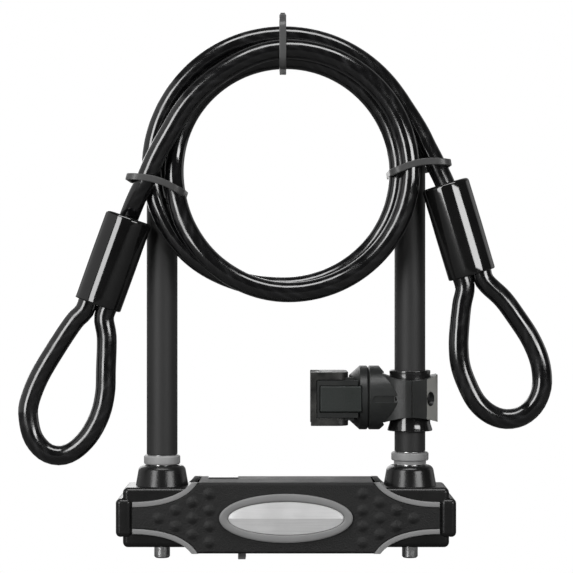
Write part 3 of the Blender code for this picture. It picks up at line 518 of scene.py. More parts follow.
world = bpy.data.worlds.new("studio")
world.use_nodes = True
bpy.context.scene.world = world
sky = world.node_tree
sky.nodes.clear()
direction = node(sky, "ShaderNodeSeparateXYZ", {0: node(sky, "ShaderNodeTexCoord").outputs["Generated"]})
behind = spread(sky, direction.outputs["Y"], 0.3, 0.9, ROOM_LIGHT, BEHIND_LIGHT)
room = node(sky, "ShaderNodeBackground", {"Color": (1, 1, 1, 1), "Strength": behind})
backdrop = white_to_camera(sky, room.outputs[0])
node(sky, "ShaderNodeOutputWorld", {"Surface": backdrop.outputs[0]})

floor_mesh = bpy.data.meshes.new("floor")
corners = np.array([(-1, -1), (1, -1), (1, 1), (-1, 1)]) * FLOOR_REACH
floor_z = low_corner[2] - FLOOR_DROP
floor_mesh.from_pydata([(x, y, floor_z) for x, y in corners], [], [(0, 1, 2, 3)])
floor = add_object("floor", floor_mesh)
floor_paint, paper, paper_shader = new_material("floor_paper", Roughness=0.9)
clouds = noise(paper, node(paper, "ShaderNodeTexCoord").outputs["Object"], 6.0, 3.0)
paper.links.new(mix_colour(paper, clouds, PAPER_DARK, PAPER_LIGHT), paper_shader.inputs["Base Color"])
lit = white_to_camera(paper, paper_shader.outputs[0])
paper.links.new(lit.outputs[0], paper.nodes["Material Output"].inputs["Surface"])
floor_mesh.materials.append(floor_paint)

soft_box("left_soft_box", (-0.7, -0.95, 0.25), (0.0, 0.0, 0.12), (0.42, 1.1), 9.6)
soft_box("right_soft_box", (0.76, -0.92, 0.32), (0.0, 0.0, 0.12), (0.62, 0.28), 4.2)
soft_box("left_fill_box", (-1.35, 0.0, 0.2), (0.0, 0.0, 0.12), (2.2, 2.2), 5.8)
soft_box("right_rim_box", (1.0, 0.6, 0.15), (0.0, 0.0, 0.1), (0.5, 0.8), 0.5)
soft_box("top_soft_box", (0.0, -0.45, 1.1), (0.0, 0.0, 0.12), (0.9, 0.35), 6.0)
soft_box("back_soft_box", (-0.4, 1.2, 0.5), (0.0, 0.0, 0.12), (1.0, 0.8), 5.0)
bpy.context.scene.view_settings.view_transform = "Standard"


# ------------------------------------------------------------------ shackle bar
# The shackle is a 13 mm bar of hardened, nickel-plated steel bent to a U. Each foot steps down to
# a bright locating tip, and a notch on its inner side takes the bolt.
def span(name):
    """The lowest and highest corners of a CAD node in millimetres."""
    return [np.array(corner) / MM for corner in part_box(name)]


core_low, core_high = span("shackle_core")
STEEL_R = core_high[1]
LEG_X = core_high[0] - STEEL_R
BEND_Z = core_high[2] - STEEL_R - LEG_X
SHOULDER_Z, SHOULDER_CHAMFER = -9.9, 0.8
TIP_R, TIP_CHAMFER, TIP_FILLET = 4.0, 0.7, 0.3
NOTCH_HALF, NOTCH_DEPTH = 4.6, 5.0


def u_grid(left, right, bend_radius, sides=48, bend_rows=72):
    """Circles along a U: up the left leg, round a half circle and down the right leg.
    A leg's rows are (height, radius, reach): a point keeps its place out from the U's middle, but
    comes no further in than reach."""
    left, right = np.array(left, float), np.array(right, float)[::-1]
    turn = np.radians(np.linspace(180, 0, bend_rows + 1))
    zeros, ones = np.zeros_like(turn), np.ones_like(turn)
    centre = np.concatenate([
        np.stack([-LEG_X + 0 * left[:, 0], 0 * left[:, 0], left[:, 0]], 1),
        np.stack([LEG_X * np.cos(turn), zeros, BEND_Z + LEG_X * np.sin(turn)], 1),
        np.stack([LEG_X + 0 * right[:, 0], 0 * right[:, 0], right[:, 0]], 1)])
    outward = np.concatenate([
        np.tile((-1.0, 0.0, 0.0), (len(left), 1)),
        np.stack([np.cos(turn), zeros, np.sin(turn)], 1),
        np.tile((1.0, 0.0, 0.0), (len(right), 1))])
    radius = np.concatenate([left[:, 1], bend_radius * ones, right[:, 1]])[:, None]
    reach = np.concatenate([left[:, 2], bend_radius * ones, right[:, 2]])[:, None]
    angle = np.linspace(0, 2 * np.pi, sides, endpoint=False)[None, :]
    out = np.maximum(radius * np.cos(angle), -reach)
    back = radius * np.sin(angle)
    return centre[:, None] + out[..., None] * outward[:, None] + back[..., None] * (0.0, 1.0, 0.0)


def foot_rows():
    """A foot from its tip up: chamfered tip, shoulder, notch and the plain bar above."""
    flat = STEEL_R - NOTCH_DEPTH
    return [(core_low[2], TIP_R - TIP_CHAMFER, TIP_R), (core_low[2] + TIP_CHAMFER, TIP_R, TIP_R),
            (SHOULDER_Z - TIP_FILLET, TIP_R, TIP_R), (SHOULDER_Z, TIP_R + TIP_FILLET, STEEL_R),
            (SHOULDER_Z, STEEL_R - SHOULDER_CHAMFER, STEEL_R),
            (SHOULDER_Z + SHOULDER_CHAMFER, STEEL_R, STEEL_R),
            (-NOTCH_HALF, STEEL_R, STEEL_R), (-NOTCH_HALF, STEEL_R, flat), (NOTCH_HALF, STEEL_R, flat),
            (NOTCH_HALF, STEEL_R, STEEL_R), (BEND_Z / 2, STEEL_R, STEEL_R)]


plated = metal("plated_steel", grey(0.82), grey(0.95), (0.16, 0.28), (60.0, 60.0, 900.0), 0.06)
core = shell("shackle_bar", u_grid(foot_rows(), foot_rows(), STEEL_R), sharp=30.0)
finish(core, plated, "shackle", "hardened_steel", "shackle_core")


# ------------------------------------------------------------------ shackle coat
# The bar wears a satin black vinyl coat 1.3 mm thick that keeps it off the bicycle's paint. It
# ends just above the grey collars.
COAT_R = span("shackle_sleeve")[1][1]
COAT_BORE = STEEL_R + 0.05
COAT_ROUND = 0.35
COAT_GAP = 0.3
coat_foot = {side: span(f"{side}_collar")[1][2] + COAT_GAP for side in ("left", "right")}


def coat_rows(side, outer):
    """One leg of the coat's outer or inner skin, rounded over at its foot."""
    foot = coat_foot[side]
    if not outer:
        return [(foot, COAT_BORE, COAT_BORE), (BEND_Z / 2, COAT_BORE, COAT_BORE)]
    return [(foot, COAT_R - COAT_ROUND, COAT_R), (foot + COAT_ROUND, COAT_R, COAT_R),
            (BEND_Z / 2, COAT_R, COAT_R)]


skins = [u_grid(coat_rows("left", outer), coat_rows("right", outer), radius, 64)
         for outer, radius in ((True, COAT_R), (False, COAT_BORE))]
coat = shell("shackle_coat", np.concatenate([skins[0], skins[1][::-1]]), looped=True)
vinyl = moulded("vinyl_coat", grey(0.016), grey(0.024), (0.52, 0.6), (700.0, 0.05), patch=28.0, IOR=1.55)
finish(coat, vinyl, "shackle", "vinyl_coat", "shackle_sleeve")


# ------------------------------------------------------------------ collars
# A grey moulded collar grips each leg where the coat ends. The right one stands on a short neck
# and sits a little higher than the left.
COLLAR_ROUND = 0.9
NECK = {"left": 0.0, "right": 1.7}
NECK_IN = 1.3
collar_grey = moulded("collar_grey", grey(0.32), grey(0.38), (0.4, 0.55), (900.0, 0.05), IOR=1.46)
for side in ("left", "right"):
    low, high = span(f"{side}_collar")
    radius = (high[0] - low[0]) / 2
    foot = low[2] + NECK[side]
    ring = [arc_points((radius - COLLAR_ROUND, high[2] - COLLAR_ROUND), COLLAR_ROUND, 90, 0, 7),
            arc_points((radius - COLLAR_ROUND, foot + COLLAR_ROUND), COLLAR_ROUND, 0, -90, 7)]
    if NECK[side]:
        ring.append([(radius - NECK_IN, foot), (radius - NECK_IN, low[2])])
    ring.append([(STEEL_R + 0.1, low[2]), (STEEL_R + 0.1, high[2])])
    axis_point = ((low[0] + high[0]) / 2, 0.0, 0.0)
    collar = shell(f"{side}_leg_collar", turned_grid(np.vstack(ring), axis_point, (0, 0, 1)), looped=True)
    finish(collar, collar_grey, "shackle", "collar_grey", f"{side}_collar")


# ------------------------------------------------------------------ cable ties
# Three black nylon ties, 3.4 mm wide, hold the coil to the shackle. Each is a smooth band drawn
# tight through a square head, with a cut tail standing out of it.
TIE_W, TIE_T = 3.4, 1.2
TIE_CORNER = 5.0
BAND_ROUND, HEAD_ROUND, STUB_ROUND = 0.45, 0.7, 0.3
BAND_STEP = 1.2


def ring_points(low, high, corner, count):
    """A rectangle with round corners, as the points of its corner arcs."""
    corners = ((high[0] - corner, high[1] - corner, 0), (low[0] + corner, high[1] - corner, 90),
               (low[0] + corner, low[1] + corner, 180), (high[0] - corner, low[1] + corner, 270))
    return np.vstack([arc_points((x, y), corner, start, start + 90, count) for x, y, start in corners])


def ring_line(low, high, corner, step):
    """A rectangle with round corners, as evenly spaced points."""
    line = ring_points(low, high, corner, 12)
    return even(np.vstack([line, line[:1]]), step)[:-1]


def pill(width, height, rounding, count=4):
    """A small rectangle with round corners about the origin."""
    return ring_points((-width / 2, -height / 2), (width / 2, height / 2), rounding, count)


def band_grid(low, high, arch, frame_axes, origin):
    """A band round a rectangle: its section is carried square to the line, and the front run is
    arched along the band's width by a half sine."""
    across, depth, width = (np.array(v, float) for v in frame_axes)
    half = TIE_T / 2
    line = ring_line(np.array(low) - half, np.array(high) + half, TIE_CORNER + half, BAND_STEP)
    ahead = unit(np.roll(line, -1, axis=0) - np.roll(line, 1, axis=0))
    outward = np.column_stack([ahead[:, 1], -ahead[:, 0]])
    share = (line[:, 0] - low[0]) / (high[0] - low[0])
    nearness = np.clip((line[:, 1] - high[1]) / (low[1] - high[1]), 0, 1)
    lift = arch * np.sin(np.pi * np.clip(share, 0, 1)) * nearness
    section = pill(TIE_T, TIE_W, BAND_ROUND)
    flat = line[:, None] + section[None, :, :1] * outward[:, None]
    up = lift[:, None] + section[None, :, 1]
    return np.array(origin) + flat[..., :1] * across + flat[..., 1:] * depth + up[..., None] * width


def rounded_box(low, high, radius, count=5):
    """A box with round edges: every point is a corner's centre plus the radius times a direction."""
    low, high = np.array(low, float), np.array(high, float)
    tilt = np.radians(np.concatenate([np.linspace(-90, 0, count), np.linspace(0, 90, count)]))
    level = np.repeat((low[2] + radius, high[2] - radius), count)
    turn = np.concatenate([np.linspace(start, start + 90, count) for start in (0, 90, 180, 270)])
    turn = np.radians(turn)
    corner_x = np.repeat((high[0] - radius, low[0] + radius, low[0] + radius, high[0] - radius), count)
    corner_y = np.repeat((high[1] - radius, high[1] - radius, low[1] + radius, low[1] + radius), count)
    ring = radius * np.cos(tilt)[:, None]
    z = np.broadcast_to((level + radius * np.sin(tilt))[:, None], (2 * count, 4 * count))
    return np.stack([corner_x + ring * np.cos(turn), corner_y + ring * np.sin(turn), z], axis=-1)


def placed(grid, frame_axes, origin):
    """A grid made in its own axes, moved to an origin along three directions."""
    return np.array(origin) + grid @ np.array(frame_axes, float)


def weigh_normals(piece):
    """Flat faces keep their flat shading beside rounded edges."""
    piece.modifiers.new("weighted", "WEIGHTED_NORMAL").keep_sharp = True


def join(name, parts):
    """Several closed shells made one piece."""
    shape = bmesh.new()
    for part in parts:
        shape.from_mesh(part.data)
        bpy.data.objects.remove(part)
    mesh = bpy.data.meshes.new(name)
    shape.to_mesh(mesh)
    shape.free()
    return add_object(name, mesh)


def side_axes(tilt):
    """A side tie's axes: across the strands, back from the front, and along the strands."""
    tilt = np.radians(tilt)
    return ((np.cos(tilt), 0.0, -np.sin(tilt)), (0.0, 1.0, 0.0), (np.sin(tilt), 0.0, np.cos(tilt)))


nylon = moulded("nylon_tie", grey(0.06), grey(0.095), (0.3, 0.42), (1300.0, 0.05), IOR=1.53)
upright = ((0, 1, 0), (0, 0, 1), (1, 0, 0))
# each tie: its hole's low and high corner, its arch, its axes and origin, its head and its tail
ties = {
    "top": ((-28.6, 224.3), (8.4, 247.2), 0.0, upright, (-1.6, 0, 0),
            ((-24.0, 247.4, -1.7), (-18.4, 250.4, 1.7)), ((-22.4, 249.9, -1.2), (-20.9, 251.2, 1.2))),
    "left": ((-13.6, -28.6), (14.2, 8.6), 2.2, side_axes(16), (-65.0, 0, 166.0),
             ((-5.0, 8.9, -2.3), (1.0, 12.2, 2.3)), ((-2.7, 11.6, -1.5), (-1.3, 15.0, 1.5))),
    "right": ((-12.9, -28.6), (15.9, 8.6), 2.4, side_axes(-10), (65.0, 0, 174.0),
              ((-4.0, 8.9, -2.3), (2.0, 12.2, 2.3)), ((-1.7, 11.6, -1.5), (-0.3, 15.0, 1.5))),
}
for side, (low, high, arch, axes, origin, head, tail) in ties.items():
    band = shell("band", band_grid(low, high, arch, axes, origin), looped=True)
    lug = shell("lug", placed(rounded_box(*head, HEAD_ROUND), axes, origin), sharp=50.0)
    stub = shell("stub", placed(rounded_box(*tail, STUB_ROUND), axes, origin), sharp=50.0)
    tie = join(f"{side}_tie", [band, lug, stub])
    weigh_normals(tie)
    finish(tie, nylon, "shackle", "nylon_tie", f"{side}_cable_tie")


# ------------------------------------------------------------------ covers
# Two moulded covers clip together over the square lock tube, front and back, and meet in a line
# along the top and bottom. Their faces are pebbled, with grip bumps set in triangles.
cover_high = span("front_cover")[1]
FACE = 17.5
FACE_BACK = 15.8
SPLIT = 0.15
MAIN_X = 43.4
MAIN_HALF_Z = cover_high[2]
WING_X = cover_high[0]
CAVITY = 12.9
TRIM_W, TRIM_GAP = 2.6, 0.04
TRIM_CURVE = np.array([(76.6, 6.7), (62.0, 6.7), (50.5, 10.5), (45.9, 17.2)])
TRIM_TAIL = (0.3, 1.8)
BUMP_X, BUMP_DX, BUMP_DZ, BUMP_R, BUMP_H = 63.5, 8.43, 8.05, 3.1, 0.85
SHUTTER_MOUTH = (-42.0, 10.0)
MOUTH_Y, SLOT_Y, SLOT_TOP, SLOT_BOTTOM, BARREL_HOLE = 7.0, 8.6, 15.2, 16.95, 8.3
EDGE_ROUND = {"middle": 1.3, "wing": 0.6}
FACE_COLUMNS, ROW_STEP = 66, 0.6
NUDGE = 0.02


def bezier_line(controls, count):
    """A cubic Bezier curve."""
    t = np.linspace(0, 1, count)[:, None]
    a, b, c, d = controls
    return a * (1 - t)**3 + 3 * b * t * (1 - t)**2 + 3 * c * t * t * (1 - t) + d * t**3


def sideways(line, distance):
    """A flat line shifted to its left."""
    ahead = unit(np.gradient(line, axis=0))
    return line + distance * np.column_stack([-ahead[:, 1], ahead[:, 0]])


def trim_line():
    """The middle of a trim: its curve, and a straight tail that runs out past the crossbar's top."""
    line = bezier_line(TRIM_CURVE, 40)
    tail = line[-1] + unit(line[-1] - line[-2]) * np.linspace(*TRIM_TAIL, 5)[:, None]
    return np.vstack([line, tail])


def panel_half_height(x):
    """How far the cover's face reaches up and down: full height in the middle, then along the trims."""
    edge = sideways(trim_line(), TRIM_W / 2 + TRIM_GAP)[::-1]
    return np.interp(np.abs(x), edge[:, 0], np.minimum(edge[:, 1], MAIN_HALF_Z), left=MAIN_HALF_Z)


def bump_height(x, z):
    """The grip bumps: low domes, one, two, three and four in a column towards the middle."""
    column = np.array([c for c in range(4) for _ in range(c + 1)])
    row = np.array([r for c in range(4) for r in range(c + 1)])
    centre_x = BUMP_X - BUMP_DX * column
    centre_z = BUMP_DZ * (row - column / 2)
    away = (np.abs(x)[..., None] - centre_x)**2 + (z[..., None] - centre_z)**2
    return BUMP_H * (np.clip(1 - away / BUMP_R**2, 0, 1)**1.5).sum(axis=-1)


def cover_rows(start, stop, kind):
    """Evenly spaced cross sections of one stretch of a cover."""
    x = np.linspace(start, stop, max(2, round((stop - start) / ROW_STEP)))
    return [(value, kind) for value in x]


def cover_grid(side):
    """A cover as cross sections along the crossbar. Each runs from the top joint over the top edge,
    down the face, round the bottom edge to the bottom joint, and back along the hollow inside."""
    rows = (cover_rows(-WING_X, -MAIN_X, "wing") + cover_rows(-MAIN_X, SHUTTER_MOUTH[0], "middle")
            + cover_rows(*SHUTTER_MOUTH, "mouth") + cover_rows(SHUTTER_MOUTH[1], MAIN_X, "middle")
            + cover_rows(MAIN_X, WING_X, "wing"))
    x = np.array([value for value, _ in rows])
    wing = np.array([kind == "wing" for _, kind in rows])
    mouth = np.array([kind == "mouth" for _, kind in rows])
    height = panel_half_height(x)
    rounding = np.where(wing, EDGE_ROUND["wing"], EDGE_ROUND["middle"])
    wall = np.where(wing, FACE_BACK, SPLIT)
    ceiling = np.where(wing, height - 3 * NUDGE, CAVITY)
    inside = np.where(wing, FACE_BACK, CAVITY)
    mouth_y = np.where(mouth, MOUTH_Y, wall)
    slot_y = np.where(mouth, SLOT_Y, wall)
    hole = np.sqrt(np.clip(BARREL_HOLE**2 - x**2, SPLIT**2, None))
    barrel_y = np.where(mouth, hole, wall)
    slot_low = np.where(wing, height - NUDGE, SLOT_BOTTOM)
    slot_high = np.where(wing, height - 2 * NUDGE, SLOT_TOP)

    def column(depth, z):
        return np.stack([x, side * np.broadcast_to(depth, x.shape), np.broadcast_to(z, x.shape)], axis=-1)

    turn = np.radians(np.linspace(90, 0, 6))
    bend = [(FACE - rounding + rounding * np.cos(a), height - rounding + rounding * np.sin(a)) for a in turn]
    over = [column(depth, z) for depth, z in bend]
    under = [column(depth, -z) for depth, z in bend[::-1]]
    z = (height - rounding)[:, None] * np.linspace(1, -1, FACE_COLUMNS)[None, 1:-1]
    across = np.broadcast_to(x[:, None], z.shape)
    face = np.stack([across, side * (FACE + bump_height(across, z)), z], axis=-1)
    columns = [column(wall, ceiling), column(wall, height), *over]
    closing = [*under, column(mouth_y, -height), column(mouth_y, -slot_low), column(slot_y, -slot_low),
               column(slot_y, -slot_high), column(barrel_y, -slot_high), column(barrel_y, -ceiling),
               column(inside, -ceiling), column(inside, ceiling)]
    return np.concatenate([np.stack(columns, 1), face, np.stack(closing, 1)], axis=1)


pebbled = moulded("textured_cover", grey(0.0085), grey(0.013), (0.5, 0.62), (1500.0, 0.55), patch=60.0,
                  IOR=1.45)
for name, side in (("front", -1), ("back", 1)):
    cover = shell(f"{name}_cover_shell", cover_grid(side), sharp=35.0)
    finish(cover, pebbled, "lock_body", "textured_cover", f"{name}_cover")


# ------------------------------------------------------------------ trims
# Eight grey strips edge the covers' wings, four on each face. They are moulded in, stand a
# little proud, and are cut off flush with the crossbar's top and bottom.
TRIM_FRONT = FACE + 0.4
TRIM_ROUND = 0.5
trim_grey = moulded("grey_trim", grey(0.245), grey(0.285), (0.45, 0.58), (1100.0, 0.08), IOR=1.46)


def trim_grid(side, up, front):
    """A strip carried along its curve: across the curve by its width and back by its depth."""
    line = trim_line()
    ahead = unit(np.gradient(line, axis=0))
    left = np.column_stack([-ahead[:, 1], ahead[:, 0]])
    depth = TRIM_FRONT - FACE_BACK
    section = pill(TRIM_W, depth, TRIM_ROUND, 5)
    flat = line[:, None] + section[None, :, :1] * left[:, None]
    x = np.minimum(flat[..., 0], WING_X)
    z = np.minimum(flat[..., 1], MAIN_HALF_Z)
    y = np.broadcast_to(FACE_BACK + depth / 2 + section[None, :, 1], x.shape)
    return np.stack([side * x, front * y, up * z], axis=-1)


for face, front in (("front", -1), ("back", 1)):
    for level, up in (("upper", 1), ("lower", -1)):
        for name, side in (("left", -1), ("right", 1)):
            strip = shell(f"{face}_strip_{level}_{name}", trim_grid(side, up, front), sharp=28.0)
            finish(strip, trim_grey, "lock_body", "grey_trim", f"{face}_trim_{level}_{name}")


# ------------------------------------------------------------------ badge
# A domed silver badge with pointed ends sits in a flat grey oval bezel on the front. It is plain:
# two brushed slopes meet in a ridge along its middle. A foil label lies on top of the crossbar.
BEZEL_OUT = np.array((33.3, 12.2))
BEZEL_IN = np.array((29.0, 8.4))
BADGE_HALF = np.array((28.8, 8.2))
BEZEL_BACK = FACE + 0.3
BEZEL_SECTION = ((0.0, 0.0), (0.0, 0.75), (0.03, 0.95), (0.1, 1.1), (0.3, 1.28), (0.7, 1.3), (0.93, 1.15),
                 (0.98, 0.95), (1.0, 0.7), (1.0, 0.0))
BADGE_RIM, BADGE_RIM_DROP, BADGE_RIDGE = 0.75, 0.15, 0.95
AROUND = 128


def bezel_grid():
    """Ellipses from the inner one to the outer one, each at its section's height."""
    turn = np.linspace(0, 2 * np.pi, AROUND, endpoint=False)
    oval = np.stack([np.cos(turn), np.sin(turn)], axis=-1)[None]
    section = np.array(BEZEL_SECTION)
    size = BEZEL_IN + section[:, :1] * (BEZEL_OUT - BEZEL_IN)
    flat = size[:, None] * oval
    y = np.broadcast_to(-BEZEL_BACK - section[:, 1:], flat.shape[:2])
    return np.stack([flat[..., 0], y, flat[..., 1]], axis=-1)


def badge_grid():
    """Rings of an ellipse from its middle out: the height falls from the ridge by how far up or down
    the rim a point lies, and then drops down the rim."""
    turn = np.linspace(0, 2 * np.pi, AROUND, endpoint=False)
    share = np.concatenate([np.linspace(0.02, 0.985, 20), [1.0, 1.0]])[:, None]
    x = BADGE_HALF[0] * share * np.cos(turn)
    z = BADGE_HALF[1] * share * np.sin(turn)
    rim_z = BADGE_HALF[1] * np.sqrt(np.clip(1 - (x / BADGE_HALF[0])**2, 0.0004, 1))
    slope = 1 - np.clip(np.abs(z) / rim_z, 0, 1)
    fade = np.clip(rim_z / BADGE_HALF[1], 0, 1)**0.5
    height = BADGE_RIM + BADGE_RIDGE * slope * fade
    height[-2] = BADGE_RIM - BADGE_RIM_DROP
    height[-1] = 0.0
    return np.stack([x, -BEZEL_BACK - height, z], axis=-1)


bezel = shell("oval_bezel", bezel_grid(), looped=True)
finish(bezel, moulded("bezel_grey", grey(0.235), grey(0.27), (0.42, 0.5), (800.0, 0.03), IOR=1.46),
       "lock_body", "bezel_grey", "badge_bezel")
silver = metal("silver_badge", grey(0.76), grey(0.86), (0.36, 0.48), (40.0, 40.0, 1500.0), 0.12,
               Metallic=0.35)
badge = shell("silver_plate", badge_grid(), sharp=9.0)
finish(badge, silver, "lock_body", "silver_badge", "badge_plate")
foil = metal("label_foil", grey(0.45), grey(0.62), (0.3, 0.45), (500.0, 500.0, 500.0), 0.1)
repaint(foil, "label_plate")


# ------------------------------------------------------------------ end housings
# A glossy moulded housing covers each end of the tube, with a tapered boss round the leg. An end
# cap in the same plastic wraps round it between the two covers.
HOUSING_ROUND = 2.6
BOSS_FOOT_R, BOSS_FOOT_Z, BOSS_TOP_R, BOSS_ROUND = 14.4, 9.0, 12.0, 3.0
AXIS_R = 0.01
BOSS_BORE = STEEL_R + 0.6
TUBE_CLEAR = 12.9
TUBE_END = 76.6
FOOT_HOLE = TIP_R + 0.6
CAP_ROUND, CAP_GAP, CAP_LAP = 2.4, 0.3, 0.4
BOX_EDGE = 0.01
PAST = 5.0
FAR = 20.0


def settle(piece):
    """Turn a piece's modifiers into its mesh."""
    seen = piece.evaluated_get(bpy.context.evaluated_depsgraph_get())
    mesh = bpy.data.meshes.new_from_object(seen)
    piece.modifiers.clear()
    piece.data = mesh


def carve(piece, operation, *tools):
    """Cut tools out of a piece, or join them to it, and keep the result as the piece's mesh."""
    for tool in tools:
        step = piece.modifiers.new("carve", "BOOLEAN")
        step.operation = operation
        step.object = tool
    settle(piece)
    for tool in tools:
        bpy.data.objects.remove(tool)


def resharpen(piece, angle):
    """Shade smooth, apart from edges sharper than an angle, with flat faces kept flat."""
    piece.data.shade_smooth()
    piece.data.set_sharp_from_angle(angle=np.radians(angle))
    weigh_normals(piece)


def block(low, high, rounding=BOX_EDGE):
    """A round-edged box as a piece; its corners may come in any order."""
    low, high = np.minimum(low, high), np.maximum(low, high)
    return shell("block", rounded_box(low, high, rounding, 7 if rounding > BOX_EDGE else 2), sharp=50.0)


def rod(start, end, radius, sides=48):
    """A straight rod as a piece."""
    start, end = np.array(start, float), np.array(end, float)
    profile = [(radius, 0.0), (radius, np.linalg.norm(end - start))]
    return shell("rod", turned_grid(profile, start, end - start, sides))


gloss = moulded("gloss_housing", grey(0.0075), grey(0.013), (0.2, 0.3), (500.0, 0.05), IOR=1.5)
for name, side in (("left", -1), ("right", 1)):
    low, high = span(f"{name}_end_housing")
    half_y, half_z, boss_top = high[1], -low[2], high[2]
    inner_x, outer_x = sorted((abs(low[0]), abs(high[0])))
    x = side * LEG_X
    tube_room = block((side * (inner_x - PAST), -TUBE_CLEAR, -TUBE_CLEAR),
                      (side * TUBE_END, TUBE_CLEAR, TUBE_CLEAR))
    housing = block((side * inner_x, -half_y, -half_z), (side * outer_x, half_y, half_z), HOUSING_ROUND)
    housing.name = f"{name}_housing_shell"
    taper = np.vstack([[(AXIS_R, BOSS_FOOT_Z), (BOSS_FOOT_R, BOSS_FOOT_Z)],
                       arc_points((BOSS_TOP_R - BOSS_ROUND, boss_top - BOSS_ROUND), BOSS_ROUND, 10, 90, 9),
                       [(AXIS_R, boss_top)]])
    boss = shell("boss", turned_grid(taper, (x, 0, 0), (0, 0, 1), 72))
    carve(housing, "UNION", boss)
    carve(housing, "DIFFERENCE",
          tube_room, rod((x, 0, PAST), (x, 0, boss_top + PAST), BOSS_BORE),
          rod((x, 0, -FAR), (x, 0, -PAST), FOOT_HOLE, sides=32))
    resharpen(housing, 32.0)
    finish(housing, gloss, "lock_body", "gloss_housing", f"{name}_end_housing")

    low, high = span(f"{name}_end_cap")
    near, far = sorted((abs(low[0]), abs(high[0])))
    cap = block((side * (near - CAP_LAP), -high[1], low[2]), (side * far, high[1], high[2]), CAP_ROUND)
    cap.name = f"{name}_cap_shell"
    housing_room = block((side * (near - PAST), -half_y - CAP_GAP, -FAR),
                         (side * (outer_x + CAP_GAP), half_y + CAP_GAP, FAR))
    tube_side = block((side * (near - PAST), -FAR, -FAR), (side * near, FAR, FAR))
    carve(cap, "DIFFERENCE", housing_room, tube_side)
    resharpen(cap, 32.0)
    finish(cap, gloss, "lock_body", "gloss_housing", f"{name}_end_cap")


# ------------------------------------------------------------------ keyhole and its shutter
# Under the crossbar a brass cylinder takes the key. A grey shutter with a finger tab slides over
# the keyhole in a slot between the two covers.
MERGE_GAP = 0.000003
FLAT_ANGLE, EDGE_ANGLE, SMOOTH_ANGLE = 0.7, 28.0, 40.0


def softened(name, new_name, width, material, body, slot):
    """A copy of a CAD node with its loose triangles joined, its flats made whole and its edges rounded."""
    shape = bmesh.new()
    shape.from_mesh(nodes[name].data)
    bmesh.ops.remove_doubles(shape, verts=shape.verts, dist=MERGE_GAP)
    bmesh.ops.dissolve_limit(shape, angle_limit=np.radians(FLAT_ANGLE), verts=shape.verts, edges=shape.edges)
    mesh = bpy.data.meshes.new(new_name)
    shape.to_mesh(mesh)
    shape.free()
    piece = add_object(new_name, mesh)
    step = piece.modifiers.new("rounding", "BEVEL")
    step.width = width * MM
    step.segments = 3
    step.limit_method = "ANGLE"
    step.angle_limit = np.radians(EDGE_ANGLE)
    settle(piece)
    weld(piece.data)
    resharpen(piece, SMOOTH_ANGLE)
    finish(piece, material, body, slot, name)


brass = metal("brass", (0.5, 0.34, 0.13), (0.68, 0.5, 0.22), (0.25, 0.4), (300.0, 300.0, 300.0), 0.1)
dark_steel = metal("hardened_steel", grey(0.2), grey(0.34), (0.3, 0.48), (80.0, 500.0, 500.0), 0.15)
spring_steel = metal("spring_steel", grey(0.4), grey(0.55), (0.22, 0.35), (500.0, 500.0, 500.0), 0.05)
softened("keyhole_shutter", "sliding_shutter", 0.35, trim_grey, "keyhole_cover", "grey_trim")
softened("key_plug", "keyway_plug", 0.25, brass, "key_cylinder", "brass")
softened("cylinder_housing", "cylinder_barrel", 0.25, brass, "lock_body", "brass")
repaint(dark_steel, "lock_tube", "cylinder_cam")
for side in ("left", "right"):
    repaint(dark_steel, f"{side}_bolt", f"{side}_bolt_guide", f"{side}_receiver_bush")
    repaint(spring_steel, f"{side}_bolt_spring")


# ------------------------------------------------------------------ bracket
# The frame bracket is glass-filled nylon. Two screwed halves clamp a rubber liner on the right
# leg; a swivel drum with a steel pin carries an arm, its release tab and a rubber-lined saddle.
# where a face's normal turns towards +X, the clamp's painted highlight starts and where it is full
LIT_FROM, LIT_FULL = 0.76, 0.84


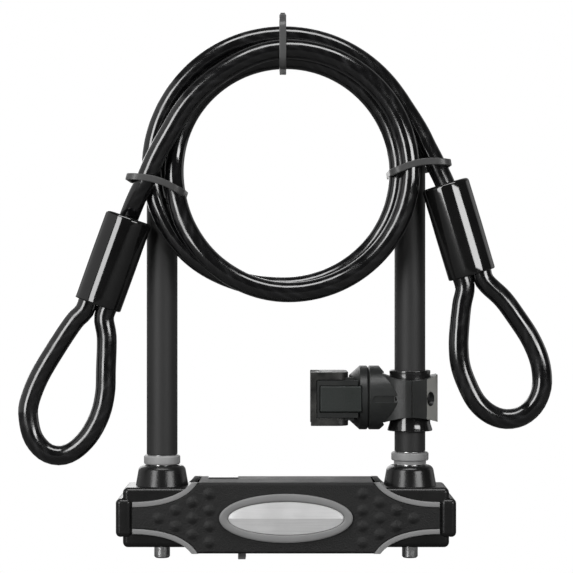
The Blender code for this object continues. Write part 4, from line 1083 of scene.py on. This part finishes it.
def paint_lit_ends(material, tone):
    """Faces that look along +X get a painted highlight: a lighter tone, mixed in by the X of their own
    normal, stands in for the light that falls on the clamp's right end faces.
    """
    tree = material.node_tree
    base = tree.nodes["Principled BSDF"].inputs["Base Color"]
    facing = node(tree, "ShaderNodeTexCoord").outputs["Normal"]
    along_x = node(tree, "ShaderNodeSeparateXYZ", {0: facing}).outputs["X"]
    share = spread(tree, along_x, LIT_FROM, LIT_FULL)
    tree.links.new(mix_colour(tree, share, base.links[0].from_socket, tone), base)


bracket_tones = ((0.017, 0.018, 0.0175), (0.028, 0.030, 0.029))
bracket_plastic = moulded("bracket_plastic", *bracket_tones, (0.34, 0.46), (900.0, 0.12), IOR=1.5)
saddle_plastic = moulded("saddle_plastic", grey(0.010), (0.040, 0.040, 0.037), (0.28, 0.5), (260.0, 0.8),
                         patch=150.0, IOR=1.5)
release_plastic = moulded("release_plastic", (0.015, 0.019, 0.017), (0.022, 0.026, 0.024), (0.45, 0.55),
                          (1200.0, 0.15), IOR=1.5)
liner_rubber = moulded("bracket_rubber", grey(0.008), grey(0.014), (0.1, 0.18), (500.0, 0.05), IOR=1.5,
                       Specular_IOR_Level=1.0)
clamp_plastic = moulded("clamp_plastic", *bracket_tones, (0.34, 0.46), (900.0, 0.12), IOR=1.5)
# Painted highlight: the outer clamp's faces towards +X are drawn lighter, as if lit from the right.
paint_lit_ends(clamp_plastic, (0.36, 0.36, 0.335, 1))
for moulding in (
        ("clamp_inner", "clamp_half_inner", 0.7, bracket_plastic, "bracket_clamp", "bracket_plastic"),
        ("clamp_outer", "clamp_half_outer", 0.7, clamp_plastic, "bracket_clamp", "bracket_plastic"),
        ("swivel_base", "swivel_drum", 0.35, bracket_plastic, "bracket_clamp", "bracket_plastic"),
        ("bracket_arm", "swivel_arm", 0.4, bracket_plastic, "bracket_arm", "bracket_plastic"),
        ("release_tab", "press_tab", 0.4, release_plastic, "release_tab", "release_plastic"),
        ("saddle", "tube_saddle", 1.0, saddle_plastic, "saddle", "bracket_plastic"),
        ("saddle_pad", "saddle_lining", 0.3, liner_rubber, "saddle", "bracket_rubber"),
        ("clamp_liner", "leg_liner", 0.4, liner_rubber, "bracket_clamp", "bracket_rubber")):
    softened(*moulding)
# The clamp screws are drawn in near-black rough steel: painted shade for the dark recesses they sit in,
# though their slot is plated steel.
recess_shade_steel = metal("screw_steel_painted_shade", grey(0.025), grey(0.05), (0.45, 0.6), (300.0, 300.0, 300.0), 0.1)
for end in ("front", "back"):
    softened(f"clamp_screw_{end}", f"screw_{end}", 0.2, recess_shade_steel, "bracket_clamp", "plated_steel")
repaint(dark_steel, "swivel_pin")
